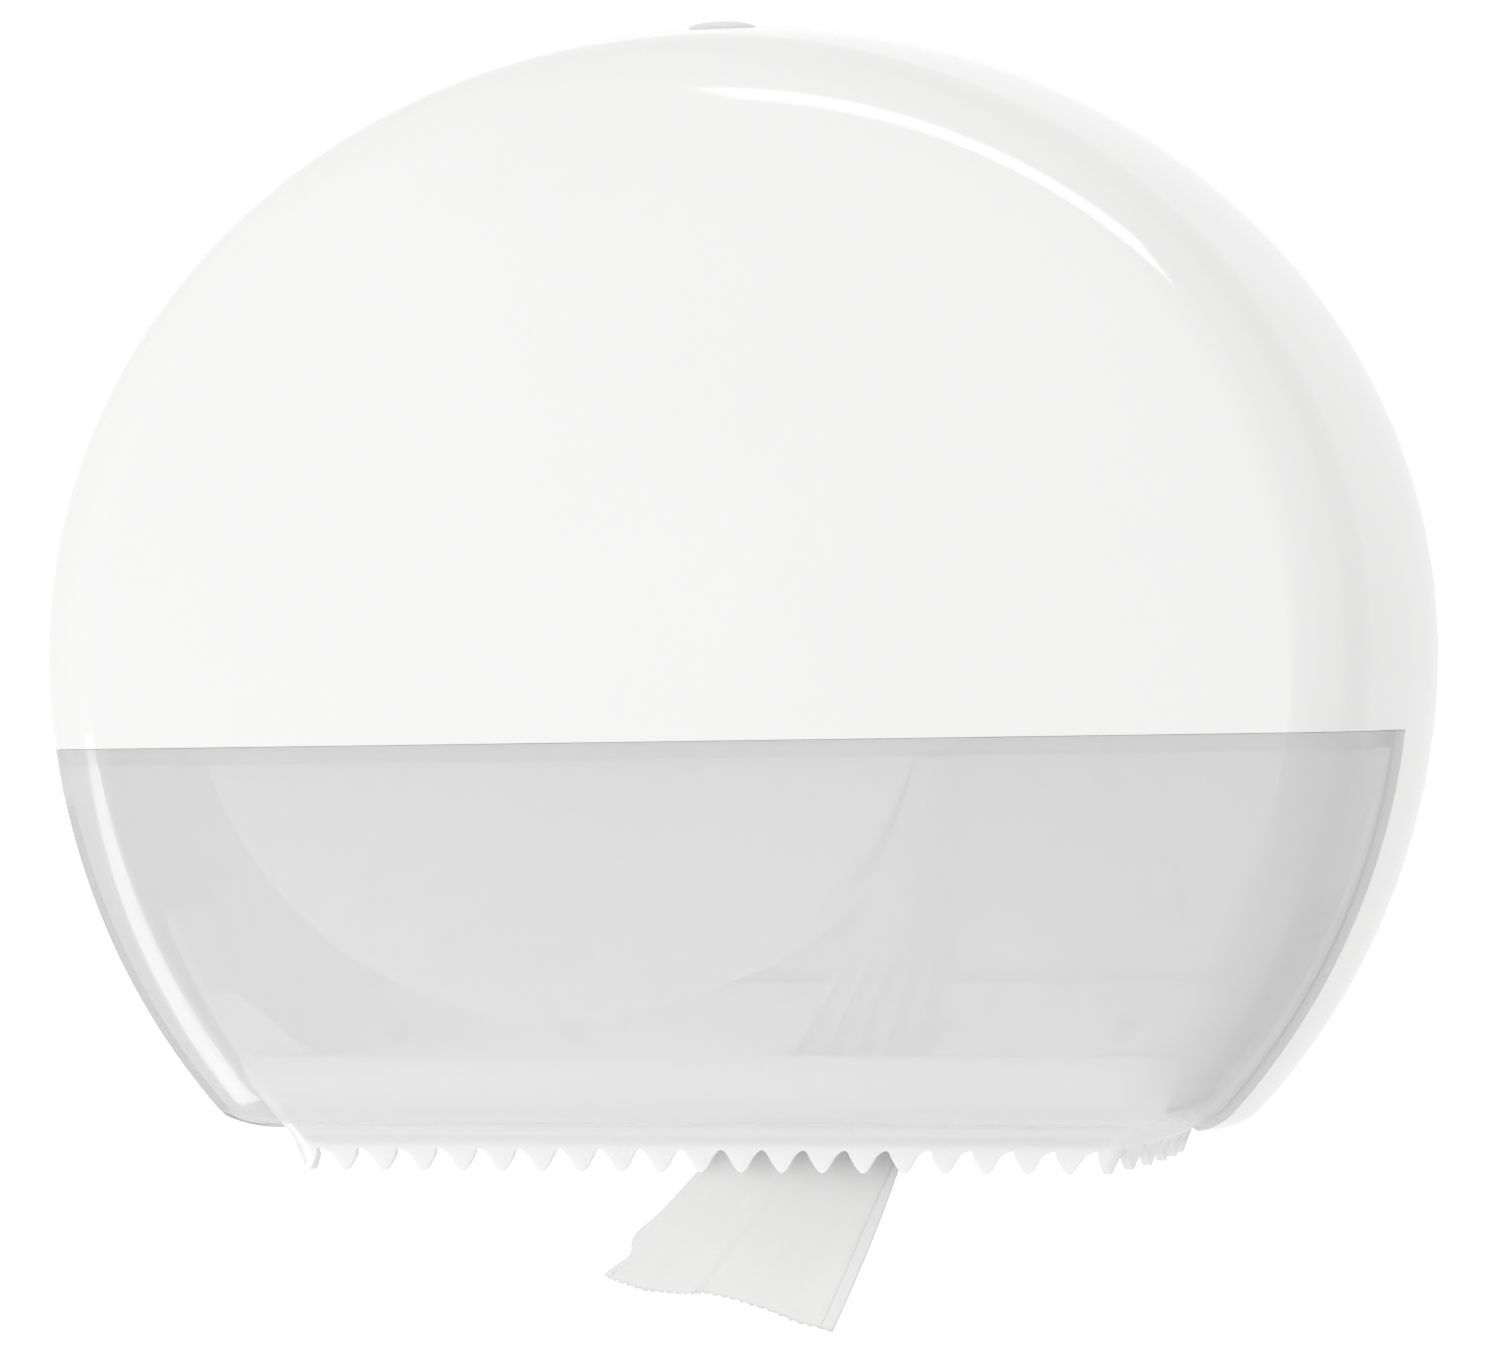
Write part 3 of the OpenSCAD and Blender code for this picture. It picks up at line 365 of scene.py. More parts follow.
def make_window():
    """The window's skin, and its flange that reaches behind the shell's edge."""
    top, side, under = WINDOW_TOP - SEAM, WINDOW_DEPTH + SEAM, WALL + FREE
    outside = skin(top, side, 0).reshape(-1, 3)
    inside = skin(top - FLANGE, side + FLANGE, WALL).reshape(-1, 3)
    n, m = len(outside), len(WINDOW_LOOP)
    stations = [(top, side, under),
                (top + FLANGE, side - FLANGE, under),
                (top + FLANGE, side - FLANGE, under + WALL),
                (top - FLANGE, side + FLANGE, under + WALL)]
    steps = [skin(*s).reshape(-1, 3)[WINDOW_LOOP] for s in stations]
    ids = [[2 * n + s * m + k for k in range(m)] for s in range(len(steps))]
    faces = patch(REAR_N, LAST_ROW, UPPER_N, LOOP_N)
    faces += [tuple(v + n for v in reversed(f)) for f in faces]
    loops = [WINDOW_LOOP] + ids + [[v + n for v in WINDOW_LOOP]]
    for a, b in zip(loops, loops[1:]):
        faces += band(a, b)
    return drop_loose(np.concatenate([outside, inside] + steps), faces)


LOCK_DEPTH = 36.0
LOCK_TOP = WAIST_H + CROWN_H - CROWN_SHARE * wall_lean(LOCK_DEPTH)
BUTTON_HOLE_L, BUTTON_HOLE_W, HOLE_REACH = 21.8, 13.8, 12.0
LUG_GAP, LUG_END, LUG_R, HINGE_DEPTH, HINGE_H = 0.2, 5.6, 5.2, 13, 6
SKIN_ANGLE = 34

shell = mesh_object("cover_skin", *make_shell(), "cover", "cover_plastic")
window = mesh_object("window_skin", *make_window(), "cover", "window_plastic")
for obj in (shell, window):
    cut(obj, box_cutter(-NOTCH_HALF, NOTCH_HALF, 0, NOTCH_DEPTH, -1, NOTCH_H))
cut(shell, oblong_cutter(BUTTON_HOLE_L, BUTTON_HOLE_W, LOCK_DEPTH,
                         LOCK_TOP - HOLE_REACH, LOCK_TOP + HOLE_REACH))
for obj in (shell, window):
    shade(obj, SKIN_ANGLE)


def make_lug(side, steps=40):
    points = []
    for x in (side * (NOTCH_HALF + LUG_GAP), side * (NOTCH_HALF + LUG_END)):
        for k in range(steps):
            a = 2 * math.pi * k / steps
            points.append((x, -(HINGE_DEPTH + LUG_R * math.cos(a)), HINGE_H + LUG_R * math.sin(a)))
    return points, end_caps(2, steps) + ring_grid(2, steps)


lugs = [mesh_object(name, *make_lug(side), "cover", "cover_plastic")
        for name, side in (("hinge_lug_right", 1), ("hinge_lug_left", -1))]
for lug in lugs:
    shade(lug)
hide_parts("cover_shell")
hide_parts("cover_window")

# ---- Tear bar: the source's plan and wave, with a rounded section ----
CHUTE_DEPTH, CHUTE_REAR, CHUTE_INSET = 93.2, 24.0, 19.5
CHUTE_R, CHUTE_A, CHUTE_SILL = 3.0, math.radians(25), 30.0
BAR_WALL, BAR_SIDE_TOP, BAR_RAMP_LEAD, BAR_RAMP_TAIL = 2.0, 12.0, 2, 14
BEAD_T, BEAD_LOW, BEAD_RUN, BEAD_STEPS = 0.8, 2.5, 4.2, 9
EDGE_LOW_R, EDGE_TOP_R, EDGE_IN = 0.45, 0.7, 0.2
TOOTH_PITCH, TOOTH_H, TIP_DROP = 12.3, 6.8, 4.9
STEPS_PER_TOOTH, WALL_STEPS = 18, 5
SIDE_END = CHUTE_DEPTH - CHUTE_R * (1 - math.sin(CHUTE_A))
FLARE = math.tan(CHUTE_A) * (SIDE_END - CHUTE_REAR) / 2


def rim_x(h):
    return arc_x(0) + math.sqrt(SIDE_R ** 2 - (WAIST_H - h) ** 2)


def side_share(d):
    return max(0.0, (d - CHUTE_REAR) / (SIDE_END - CHUTE_REAR))


def chute_x(h, d):
    return rim_x(max(h, 0.0)) - CHUTE_INSET - FLARE * side_share(d) ** 2


def bend_x(h):
    return chute_x(h, SIDE_END) - CHUTE_R * math.cos(CHUTE_A)


BEND_DEPTH = SIDE_END - CHUTE_R * math.sin(CHUTE_A)
FRONT_RUN = bend_x(0)
CORNER_RUN = (CHUTE_R + FREE + BAR_WALL) * (math.pi / 2 - CHUTE_A)
SIDE_RUN = (SIDE_END - CHUTE_REAR) / math.cos(CHUTE_A / 2)


def bar_place(s, h, off):
    """A place on the bar's plan, a run s from the middle of the front."""
    if s <= FRONT_RUN:
        return (s / FRONT_RUN * bend_x(h), -CHUTE_DEPTH - off, h)
    if s <= FRONT_RUN + CORNER_RUN:
        a = math.pi / 2 - (math.pi / 2 - CHUTE_A) * (s - FRONT_RUN) / CORNER_RUN
        r = CHUTE_R + off
        return (bend_x(h) + r * math.cos(a), -BEND_DEPTH - r * math.sin(a), h)
    d = SIDE_END - (s - FRONT_RUN - CORNER_RUN) / SIDE_RUN * (SIDE_END - CHUTE_REAR)
    a = math.atan(2 * FLARE * side_share(d) / (SIDE_END - CHUTE_REAR))
    return (chute_x(h, d) + off * math.cos(a), -d - off * math.sin(a), h)


def tooth_low(s):
    return -TIP_DROP + TOOTH_H * math.sin(math.pi * s / TOOTH_PITCH) ** 2


def bar_top(s):
    share = (s - FRONT_RUN + BAR_RAMP_LEAD) / (CORNER_RUN + BAR_RAMP_TAIL)
    return BAR_SIDE_TOP + (CHUTE_SILL - BAR_SIDE_TOP) * (1 - ease(share))


def bar_section(s):
    """Offsets and heights round the bar's wall: rounded edges, and a soft step at the bead."""
    low, top = tooth_low(s), bar_top(s)
    inner, outer, bead = FREE, FREE + BAR_WALL, FREE + BAR_WALL + BEAD_T
    foot = BEAD_LOW + BEAD_RUN
    loop = [(inner, low + EDGE_IN), (inner + EDGE_IN, low)]
    for k in range(4):
        a = math.pi / 2 * k / 3
        loop.append((bead - EDGE_LOW_R + EDGE_LOW_R * math.sin(a),
                     low + EDGE_LOW_R - EDGE_LOW_R * math.cos(a)))
    for k in range(BEAD_STEPS):
        t = k / BEAD_STEPS
        loop.append((bead + (outer - bead) * ease(t), BEAD_LOW + BEAD_RUN * t))
    loop += [(outer, foot + (top - EDGE_TOP_R - foot) * k / WALL_STEPS)
             for k in range(WALL_STEPS + 1)]
    for k in range(1, 4):
        a = math.pi / 2 * k / 3
        loop.append((outer - EDGE_TOP_R + EDGE_TOP_R * math.cos(a),
                     top - EDGE_TOP_R + EDGE_TOP_R * math.sin(a)))
    loop += [(inner, top - (top - foot) * k / WALL_STEPS) for k in range(WALL_STEPS + 1)]
    return loop


def make_bar():
    count = int((FRONT_RUN + CORNER_RUN + SIDE_RUN) * STEPS_PER_TOOTH / TOOTH_PITCH)
    points = []
    for k in range(-count, count + 1):
        s = abs(k) * TOOTH_PITCH / STEPS_PER_TOOTH
        for off, h in bar_section(s):
            x, y, z = bar_place(s, h, off)
            points.append((x if k >= 0 else -x, y, z))
    n, rows = len(bar_section(0.0)), 2 * count + 1
    return points, ring_grid(rows, n) + end_caps(rows, n)


bar = mesh_object("tear_bar_skin", *make_bar(), "wall_frame", "bar_plastic")
shade(bar, 40)
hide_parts("tear_bar")

# ---- Button spring: a round wire, coiled from its low end to its high end ----
LOCK_SPRING_R, LOCK_WIRE_R, LOCK_TURNS = 4.2, 0.5, 5
TURN_STEPS, WIRE_SIDES = 32, 10
SPRING_LOW, SPRING_HIGH = (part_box("button_spring")[k][2] / MM + MOUNT_H for k in (0, 1))


def make_spring():
    rise = SPRING_HIGH - SPRING_LOW - 2 * LOCK_WIRE_R
    steps = TURN_STEPS * LOCK_TURNS
    points = []
    for k in range(steps + 1):
        a = 2 * math.pi * k / TURN_STEPS
        h = SPRING_LOW + LOCK_WIRE_R + rise * k / steps
        for j in range(WIRE_SIDES):
            b = 2 * math.pi * j / WIRE_SIDES
            r = LOCK_SPRING_R + LOCK_WIRE_R * math.cos(b)
            points.append((r * math.cos(a), -(LOCK_DEPTH + r * math.sin(a)),
                           h + LOCK_WIRE_R * math.sin(b)))
    return points, ring_grid(steps + 1, WIRE_SIDES) + end_caps(steps + 1, WIRE_SIDES)


coil = mesh_object("button_coil", *make_spring(), None, "spring_steel")
shade(coil, 50)
frame_points((0, -LOCK_DEPTH, SPRING_LOW))[0]
frame_points((0, -LOCK_DEPTH, SPRING_HIGH))[0]
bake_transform(coil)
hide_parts("button_spring")

# ---- Button and key: the solids' forms, with a top that slopes down to its ends ----
BUTTON_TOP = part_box("lock_button")[1][2]
BUTTON_TOP_ZONE = 4.0
TOP_SINK, END_SLOPE, BUTTON_HALF_L = 0.9, 1.5, 10.5


def sloped_copy(node, name, body):
    source = NODES[node]
    obj = new_object(name, source.data.copy())
    bm = bmesh.new()
    bm.from_mesh(obj.data)
    bm.transform(source.matrix_world)
    bmesh.ops.remove_doubles(bm, verts=bm.verts, dist=1e-6)
    for vert in bm.verts:
        if vert.co.z > BUTTON_TOP - BUTTON_TOP_ZONE * MM:
            reach = math.hypot(vert.co.x, vert.co.y + LOCK_DEPTH * MM) / (BUTTON_HALF_L * MM)
            vert.co.z -= (TOP_SINK + END_SLOPE * reach ** 2) * MM
    bm.to_mesh(obj.data)
    bm.free()
    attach(obj, body)
    shade(obj, 30)
    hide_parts(node)
    return obj


button = sloped_copy("lock_button", "button_cap", "lock_button")
key_face = sloped_copy("key_cylinder", "key_barrel", "key_cam")

# ---- Paper roll: a wound roll with soft rims and uneven turns on its faces ----
ROLL_X, ROLL_H, ROLL_R, ROLL_DEPTH = -41.0, 155.0, 114.0, 16.0
PAPER_W, CORE_OUT = 92.0, 31.0
RIM_R, RIM_STEPS = 1.6, 4
ROLL_STEPS, FACE_RINGS, SIDE_STEPS = 180, 26, 10
SIDE_SINK, SIDE_WAVE, TURN_SINK = 0.25, 0.2, 0.22


def uneven(a, seed):
    """A smooth, repeating waviness round the roll, between -1 and 1."""
    return (0.5 * math.sin(2 * a + seed) + 0.3 * math.sin(5 * a + 2.1 * seed)
            + 0.2 * math.sin(9 * a + 3.7 * seed))


def roll_profile():
    """Radius, face ring, inward distance, face depth and its sign, from rear to front."""
    half = [(CORE_OUT + (ROLL_R - RIM_R - CORE_OUT) * k / FACE_RINGS, k, 0.0)
            for k in range(FACE_RINGS + 1)]
    for k in range(1, RIM_STEPS):
        a = math.pi / 2 * k / RIM_STEPS
        half.append((ROLL_R - RIM_R + RIM_R * math.sin(a), None, RIM_R * (1 - math.cos(a))))
    side = [(ROLL_R, None, RIM_R + (PAPER_W - 2 * RIM_R) * k / SIDE_STEPS)
            for k in range(SIDE_STEPS + 1)]
    rear, front = ROLL_DEPTH, ROLL_DEPTH + PAPER_W
    return [(*p, rear, 1) for p in half + side] + [(*p, front, -1) for p in reversed(half)]


def roll_point(a, radius, face_ring, inward, face_depth, sign):
    if face_ring is None:
        radius = radius - SIDE_SINK + SIDE_WAVE * uneven(a, 1.3)
    else:
        inward = TURN_SINK * (1 + uneven(a, 0.37 * face_ring)) * math.sin(2.4 * face_ring) ** 2
    return (ROLL_X + radius * math.cos(a), -(face_depth + sign * inward),
            ROLL_H + radius * math.sin(a))


def make_roll():
    profile = roll_profile()
    points = [roll_point(2 * math.pi * j / ROLL_STEPS, *p)
              for j in range(ROLL_STEPS) for p in profile]
    return points, ring_grid(ROLL_STEPS, len(profile), closed=True)


roll = mesh_object("wound_roll", *make_roll(), "main_roll", "tissue_roll")
shade(roll, 40)
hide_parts("paper_roll")

# ---- Tissue: one sheet from the roll, through the chute and behind the teeth ----
TAIL_DEPTH, LEAVE_A = 90.0, math.radians(18.4)
TAIL_X = ROLL_X + ROLL_R * math.cos(LEAVE_A) + 1.0
TAIL_H = ROLL_H - ROLL_R * math.sin(LEAVE_A)
# Control points of the sheet's two long edges.
LEFT_EDGE = [(TAIL_X, -102, TAIL_H), (TAIL_X - 19, -TAIL_DEPTH + 4, 60),
             (16, -TAIL_DEPTH + 2, 12), (-32, -TAIL_DEPTH, -37.5)]
RIGHT_EDGE = [(TAIL_X, -ROLL_DEPTH - 2, TAIL_H), (TAIL_X + 8, -40, 72),
              (71, -TAIL_DEPTH + 2, 14), (38.4, -TAIL_DEPTH, -53.3)]
# Share of the width, place and height along the torn end.
TORN_EDGE = [(0.0, -32.0, -36.9), (0.1, -26.9, -38.9), (0.22, -18.7, -41.4),
             (0.38, -7.4, -42.2), (0.5, -0.9, -41.8), (0.64, 9.4, -43.8),
             (0.76, 18.8, -46.8), (0.87, 27.8, -50.4), (0.94, 33.6, -51.6), (1.0, 38.2, -52.9)]
SHEET_ROWS, SHEET_COLS, HEM_COLS = 110, 96, 6
SHEET_W, SHEET_L, PLEATS = 90.0, 178.0, 5
SHEET_T = 0.22
HEM_INSIDE, HEM_OUT, HEM_LIFT, HEM_BULGE, HEM_BASE = 0.3, 3.6, 0.42, 0.12, 8
DENT_PLACE, DENT_SPAN, DENT_IN = 0.958, 0.02, 2.3
BULGE_PLACE, BULGE_SPAN, BULGE_OUT = 0.912, 0.028, 1.7
TORN_RAG = 0.28


def curve(p, t):
    p = np.asarray(p, float)
    u = 1 - t
    return u ** 3 * p[0] + 3 * u ** 2 * t * p[1] + 3 * u * t * t * p[2] + t ** 3 * p[3]


def torn(w):
    shares, places, heights = zip(*TORN_EDGE)
    return np.array([np.interp(w, shares, places), -TAIL_DEPTH, np.interp(w, shares, heights)])


def hill(t, place, span):
    return math.exp(-((t - place) / span) ** 2)


def sheet_point(t, w):
    """A point of the sheet, t along its length from the roll and w across from its left edge."""
    left, right = curve(LEFT_EDGE, t), curve(RIGHT_EDGE, t)
    p = left * (1 - w) + right * w
    end = curve(LEFT_EDGE, 1.0) * (1 - w) + curve(RIGHT_EDGE, 1.0) * w
    p = p + (torn(w) - end) * ease((t - 0.7) / 0.3)
    # Pleats grow out of the flat start, and fade where the sheet hangs out.
    turn = math.pi / 2 * ease(t / 0.8)
    grow = ease((t - 0.1) / 0.4)
    fade = 1 - 0.96 * ease((t - 0.56) / 0.2)
    span = float(np.linalg.norm(left - right))
    gather = span / (math.pi * PLEATS) * math.sqrt(max(0.0, SHEET_W / span - 1))
    fold = gather * grow * fade * math.sin(2 * math.pi * PLEATS * w + 0.7)
    # Small creases, in the sheet and along its left edge.
    fold += 0.3 * grow * math.sin(23 * w + 5 * t) + 0.1 * grow * math.sin(51 * w - 9 * t + 1.1)
    fold += 0.3 * grow * math.sin(14 * t + 8 * w) * math.sin(math.pi * w)
    side = 0.3 * grow * math.sin(26 * t + 0.6) * (1 - w) ** 6
    side += (DENT_IN * hill(t, DENT_PLACE, DENT_SPAN)
             - BULGE_OUT * hill(t, BULGE_PLACE, BULGE_SPAN)) * (1 - w) ** 4
    ragged = math.sin(170 * w) + 0.7 * math.sin(311 * w + 1.0)
    ragged *= TORN_RAG * ease((t - 0.97) / 0.03)
    return p + np.array([fold * math.cos(turn) + side, -fold * math.sin(turn), ragged])


def make_sheet():
    """Points of the sheet, with its right edge turned back as a narrow hem."""
    points, faces = [], []
    cols = SHEET_COLS + 1 + HEM_COLS
    for i in range(SHEET_ROWS + 1):
        t = i / SHEET_ROWS
        row = [sheet_point(t, j / SHEET_COLS) for j in range(SHEET_COLS + 1)]
        edge, inward = row[-1], row[-HEM_BASE] - row[-1]
        inward = inward / max(1e-6, float(np.linalg.norm(inward)))
        hem = HEM_INSIDE + HEM_OUT * ease((t - 0.62) / 0.25)
        for j in range(1, HEM_COLS + 1):
            a = min(1.0, j / 2)
            lift = HEM_LIFT * math.sin(a * math.pi / 2)
            row.append(edge + inward * hem * (max(0, j - 1) / (HEM_COLS - 1))
                       + np.array([HEM_BULGE * a, -lift, 0]))
        points += row
    for i in range(SHEET_ROWS):
        for j in range(cols - 1):
            a = i * cols + j
            faces.append((a, a + 1, a + cols + 1, a + cols))
    return points, faces, cols


def sheet_object():
    points, faces, cols = make_sheet()
    mesh = bpy.data.meshes.new("tissue_sheet")
    mesh.from_pydata([tuple(p) for p in frame_points(points)], [], faces)
    obj = new_object("tissue_sheet", mesh)
    layer = mesh.uv_layers.new(name="weave")
    for loop in mesh.loops:
        row, col = divmod(loop.vertex_index, cols)
        layer.data[loop.index].uv = (SHEET_W * MM * col / SHEET_COLS,
                                     SHEET_L * MM * row / SHEET_ROWS)
    for poly in mesh.polygons:
        poly.use_smooth = True
    ply = obj.modifiers.new("thickness", "SOLIDIFY")
    ply.thickness, ply.offset = SHEET_T * MM, 0.0
    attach(obj, "wall_frame")
    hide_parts("paper_tail")
    return obj


sheet = sheet_object()

# ---- Materials ----
PLASTIC_IOR = 1.49
GREY_SPLIT = (0.35, 0.65)  # where a noise's tint starts and ends


def material(name):
    mat = bpy.data.materials.new(name)
    mat.use_nodes = True
    tree = mat.node_tree
    bsdf = next(n for n in tree.nodes if n.type == "BSDF_PRINCIPLED")
    return mat, tree, bsdf


def noise(tree, scale, detail=2.0, stretch=None):
    """Noise in object space, stretched along the axes where asked."""
    tex = tree.nodes.new("ShaderNodeTexNoise")
    tex.inputs["Scale"].default_value = scale
    tex.inputs["Detail"].default_value = detail
    source = tree.nodes.new("ShaderNodeTexCoord").outputs["Object"]
    if stretch:
        mapping = tree.nodes.new("ShaderNodeMapping")
        mapping.inputs["Scale"].default_value = stretch
        tree.links.new(source, mapping.inputs["Vector"])
        source = mapping.outputs["Vector"]
    tree.links.new(source, tex.inputs["Vector"])
    return tex.outputs["Fac"]


def ramp(tree, value, low, high, ends=GREY_SPLIT):
    node = tree.nodes.new("ShaderNodeValToRGB")
    for element, place, colour in zip(node.color_ramp.elements, ends, (low, high)):
        element.position = place
        element.color = (*colour, 1)
    tree.links.new(value, node.inputs["Fac"])
    return node.outputs["Color"]


def mapped(tree, value, low, high):
    node = tree.nodes.new("ShaderNodeMapRange")
    node.inputs["To Min"].default_value = low
    node.inputs["To Max"].default_value = high
    tree.links.new(value, node.inputs["Value"])
    return node.outputs["Result"]


def combine(tree, operation, *values, clamp=False):
    """A math node over sockets or numbers."""
    node = tree.nodes.new("ShaderNodeMath")
    node.operation, node.use_clamp = operation, clamp
    for socket, value in zip(node.inputs, values):
        if isinstance(value, float):
            socket.default_value = value
        else:
            tree.links.new(value, socket)
    return node.outputs[0]


def bump(tree, bsdf, height, strength, distance_mm):
    node = tree.nodes.new("ShaderNodeBump")
    node.inputs["Strength"].default_value = strength
    node.inputs["Distance"].default_value = distance_mm * MM
    tree.links.new(height, node.inputs["Height"])
    tree.links.new(node.outputs["Normal"], bsdf.inputs["Normal"])


def tinted(tree, bsdf, value, low, high):
    tree.links.new(ramp(tree, value, low, high), bsdf.inputs["Base Color"])


def scaled(colour, k):
    return tuple(min(1.0, c * k) for c in colour)


def plastic(name, colour, rough, rough_spread=0.04, grain=900.0, grain_mm=0.02, mottle=0.015,
            alpha=1.0, shine=0.5):
    """Moulded plastic: a slight mottle in colour, fine grain and uneven gloss."""
    mat, tree, bsdf = material(name)
    tinted(tree, bsdf, noise(tree, 14.0, 3.0),
           scaled(colour, 1 - mottle), scaled(colour, 1 + mottle * 0.4))
    gloss = mapped(tree, noise(tree, 60.0, 4.0),
                   max(0.02, rough - rough_spread), rough + rough_spread)
    tree.links.new(gloss, bsdf.inputs["Roughness"])
    bump(tree, bsdf, noise(tree, grain), 0.5, grain_mm)
    bsdf.inputs["IOR"].default_value = PLASTIC_IOR
    bsdf.inputs["Specular IOR Level"].default_value = shine
    bsdf.inputs["Alpha"].default_value = alpha
    return mat


def metal(name, colour, rough, stretch=(30, 30, 400)):
    """Drawn metal: streaks in colour, gloss and relief."""
    mat, tree, bsdf = material(name)
    streaks = noise(tree, 8.0, 4.0, stretch)
    tinted(tree, bsdf, streaks, scaled(colour, 0.86), scaled(colour, 1.08))
    gloss = mapped(tree, streaks, max(0.05, rough - 0.08), rough + 0.1)
    tree.links.new(gloss, bsdf.inputs["Roughness"])
    bsdf.inputs["Metallic"].default_value = 1.0
    bump(tree, bsdf, streaks, 0.25, 0.02)
    return mat


def rubber_material():
    """Black rubber with a little dust."""
    mat, tree, bsdf = material("pad_rubber")
    tinted(tree, bsdf, noise(tree, 40.0, 5.0), (0.018, 0.018, 0.02), (0.035, 0.035, 0.036))
    bsdf.inputs["Roughness"].default_value = 0.85
    bump(tree, bsdf, noise(tree, 1500.0), 0.6, 0.05)
    return mat


def tissue_material(colour=(0.84, 0.838, 0.835), crepe_mm=0.07):
    """Soft paper: crepe ridges across the web, loose fibres and a faint sheen."""
    mat, tree, bsdf = material("tissue_sheet")
    tinted(tree, bsdf, noise(tree, 22.0, 4.0), scaled(colour, 0.985), scaled(colour, 1.01))
    bsdf.inputs["Roughness"].default_value = 0.95
    bsdf.inputs["Sheen Weight"].default_value = 0.15
    ridges = noise(tree, 1.0, 3.0, stretch=(260, 260, 1500))
    bump(tree, bsdf, combine(tree, "ADD", ridges, noise(tree, 900.0, 3.0)), 0.7, crepe_mm)
    return mat


def turns_material():
    """The faces of a wound roll: fine concentric turns round its axis."""
    mat, tree, bsdf = material("roll_paper")
    vector = tree.nodes.new("ShaderNodeTexCoord").outputs["Object"]
    for operation, value in (("SUBTRACT", (ROLL_X * MM, 0, (ROLL_H - MOUNT_H) * MM)),
                             ("MULTIPLY", (1, 0, 1))):
        step = tree.nodes.new("ShaderNodeVectorMath")
        step.operation = operation
        step.inputs[1].default_value = value
        tree.links.new(vector, step.inputs[0])
        vector = step.outputs[0]
    radius = tree.nodes.new("ShaderNodeVectorMath")
    radius.operation = "LENGTH"
    tree.links.new(vector, radius.inputs[0])
    turns = tree.nodes.new("ShaderNodeTexNoise")
    turns.noise_dimensions = "1D"
    turns.inputs["Scale"].default_value = 1400.0
    turns.inputs["Detail"].default_value = 3.0
    tree.links.new(radius.outputs["Value"], turns.inputs["W"])
    tinted(tree, bsdf, turns.outputs["Fac"], (0.78, 0.78, 0.775), (0.88, 0.88, 0.875))
    bsdf.inputs["Roughness"].default_value = 0.95
    bump(tree, bsdf, turns.outputs["Fac"], 0.8, 0.12)
    return mat


def card_material():
    """Grey-brown board with short fibres."""
    mat, tree, bsdf = material("core_card")
    fibres = noise(tree, 1.0, 4.0, stretch=(900, 120, 900))
    tinted(tree, bsdf, fibres, (0.42, 0.34, 0.25), (0.55, 0.46, 0.35))
    bsdf.inputs["Roughness"].default_value = 0.9
    bump(tree, bsdf, fibres, 0.6, 0.06)
    return mat


def grey(v):
    return (v, v, v)


cover_mat = plastic("cover_plastic", (0.905, 0.9, 0.897), 0.09, 0.02, grain=500, grain_mm=0.004,
                    mottle=0.004)
window_mat = plastic("window_plastic", grey(0.92), 0.12, 0.03, grain=700, grain_mm=0.006,
                     mottle=0.006, alpha=0.54, shine=1.0)
bar_mat = plastic("bar_plastic", grey(0.95), 0.28, 0.02, grain=700, grain_mm=0.01, mottle=0.003)
plate_mat = plastic("plate_plastic", (0.76, 0.77, 0.78), 0.42)
chute_mat = plastic("chute_plastic", grey(0.72), 0.35, mottle=0.006)
spindle_mat = plastic("spindle_plastic", grey(0.8), 0.35)
hub_mat = plastic("hub_plastic", (0.55, 0.64, 0.72), 0.32)
lock_mat = plastic("lock_plastic", (0.7, 0.71, 0.72), 0.4)
button_mat = plastic("button_plastic", grey(0.9), 0.2)
screw_mat = metal("screw_steel", (0.62, 0.63, 0.65), 0.3)
pin_mat = metal("pin_steel", (0.66, 0.67, 0.69), 0.25, stretch=(400, 30, 30))
spring_mat = metal("spring_steel", (0.58, 0.59, 0.6), 0.32)
lock_steel = metal("lock_steel", (0.75, 0.76, 0.78), 0.16)
strike_mat = metal("strike_steel", (0.66, 0.67, 0.69), 0.34)
rubber_mat = rubber_material()
tissue_mat = tissue_material()
turns_mat = turns_material()
card_mat = card_material()
NODE_LOOKS = {
    "back_plate": plate_mat, "paper_chute": chute_mat, "chute_screws": screw_mat,
    "hinge_pins": pin_mat, "main_spindle": spindle_mat, "spindle_screws": screw_mat,
    "brake_spring": spring_mat, "brake_pad": rubber_mat, "roll_hub": hub_mat,
    "hub_cap": spindle_mat, "hub_cap_screw": screw_mat, "core_tube": card_mat,
    "stub_spindle": spindle_mat, "stub_screws": screw_mat, "stub_hub": hub_mat,
    "stub_cap": spindle_mat, "lock_housing": lock_mat, "lock_screws": screw_mat,
    "latch_cam": lock_steel, "cam_screw": screw_mat, "latch_strike": strike_mat,
    "strike_screws": screw_mat,
}
PIECE_LOOKS = [(shell, cover_mat), (window, window_mat), (bar, bar_mat), (coil, spring_mat),
               (button, button_mat), (key_face, lock_steel), (roll, turns_mat),
               (sheet, tissue_mat)] + [(lug, cover_mat) for lug in lugs]
for obj, mat in [(NODES[name], mat) for name, mat in NODE_LOOKS.items()] + PIECE_LOOKS:
    obj.data.materials.clear()
    obj.data.materials.append(mat)


# ---- Camera, set by the outline and the teeth in the photograph ----
def direction(azimuth, elevation):
    a, e = math.radians(azimuth), math.radians(elevation)
    return Vector((math.sin(a) * math.cos(e), -math.cos(a) * math.cos(e), math.sin(e)))


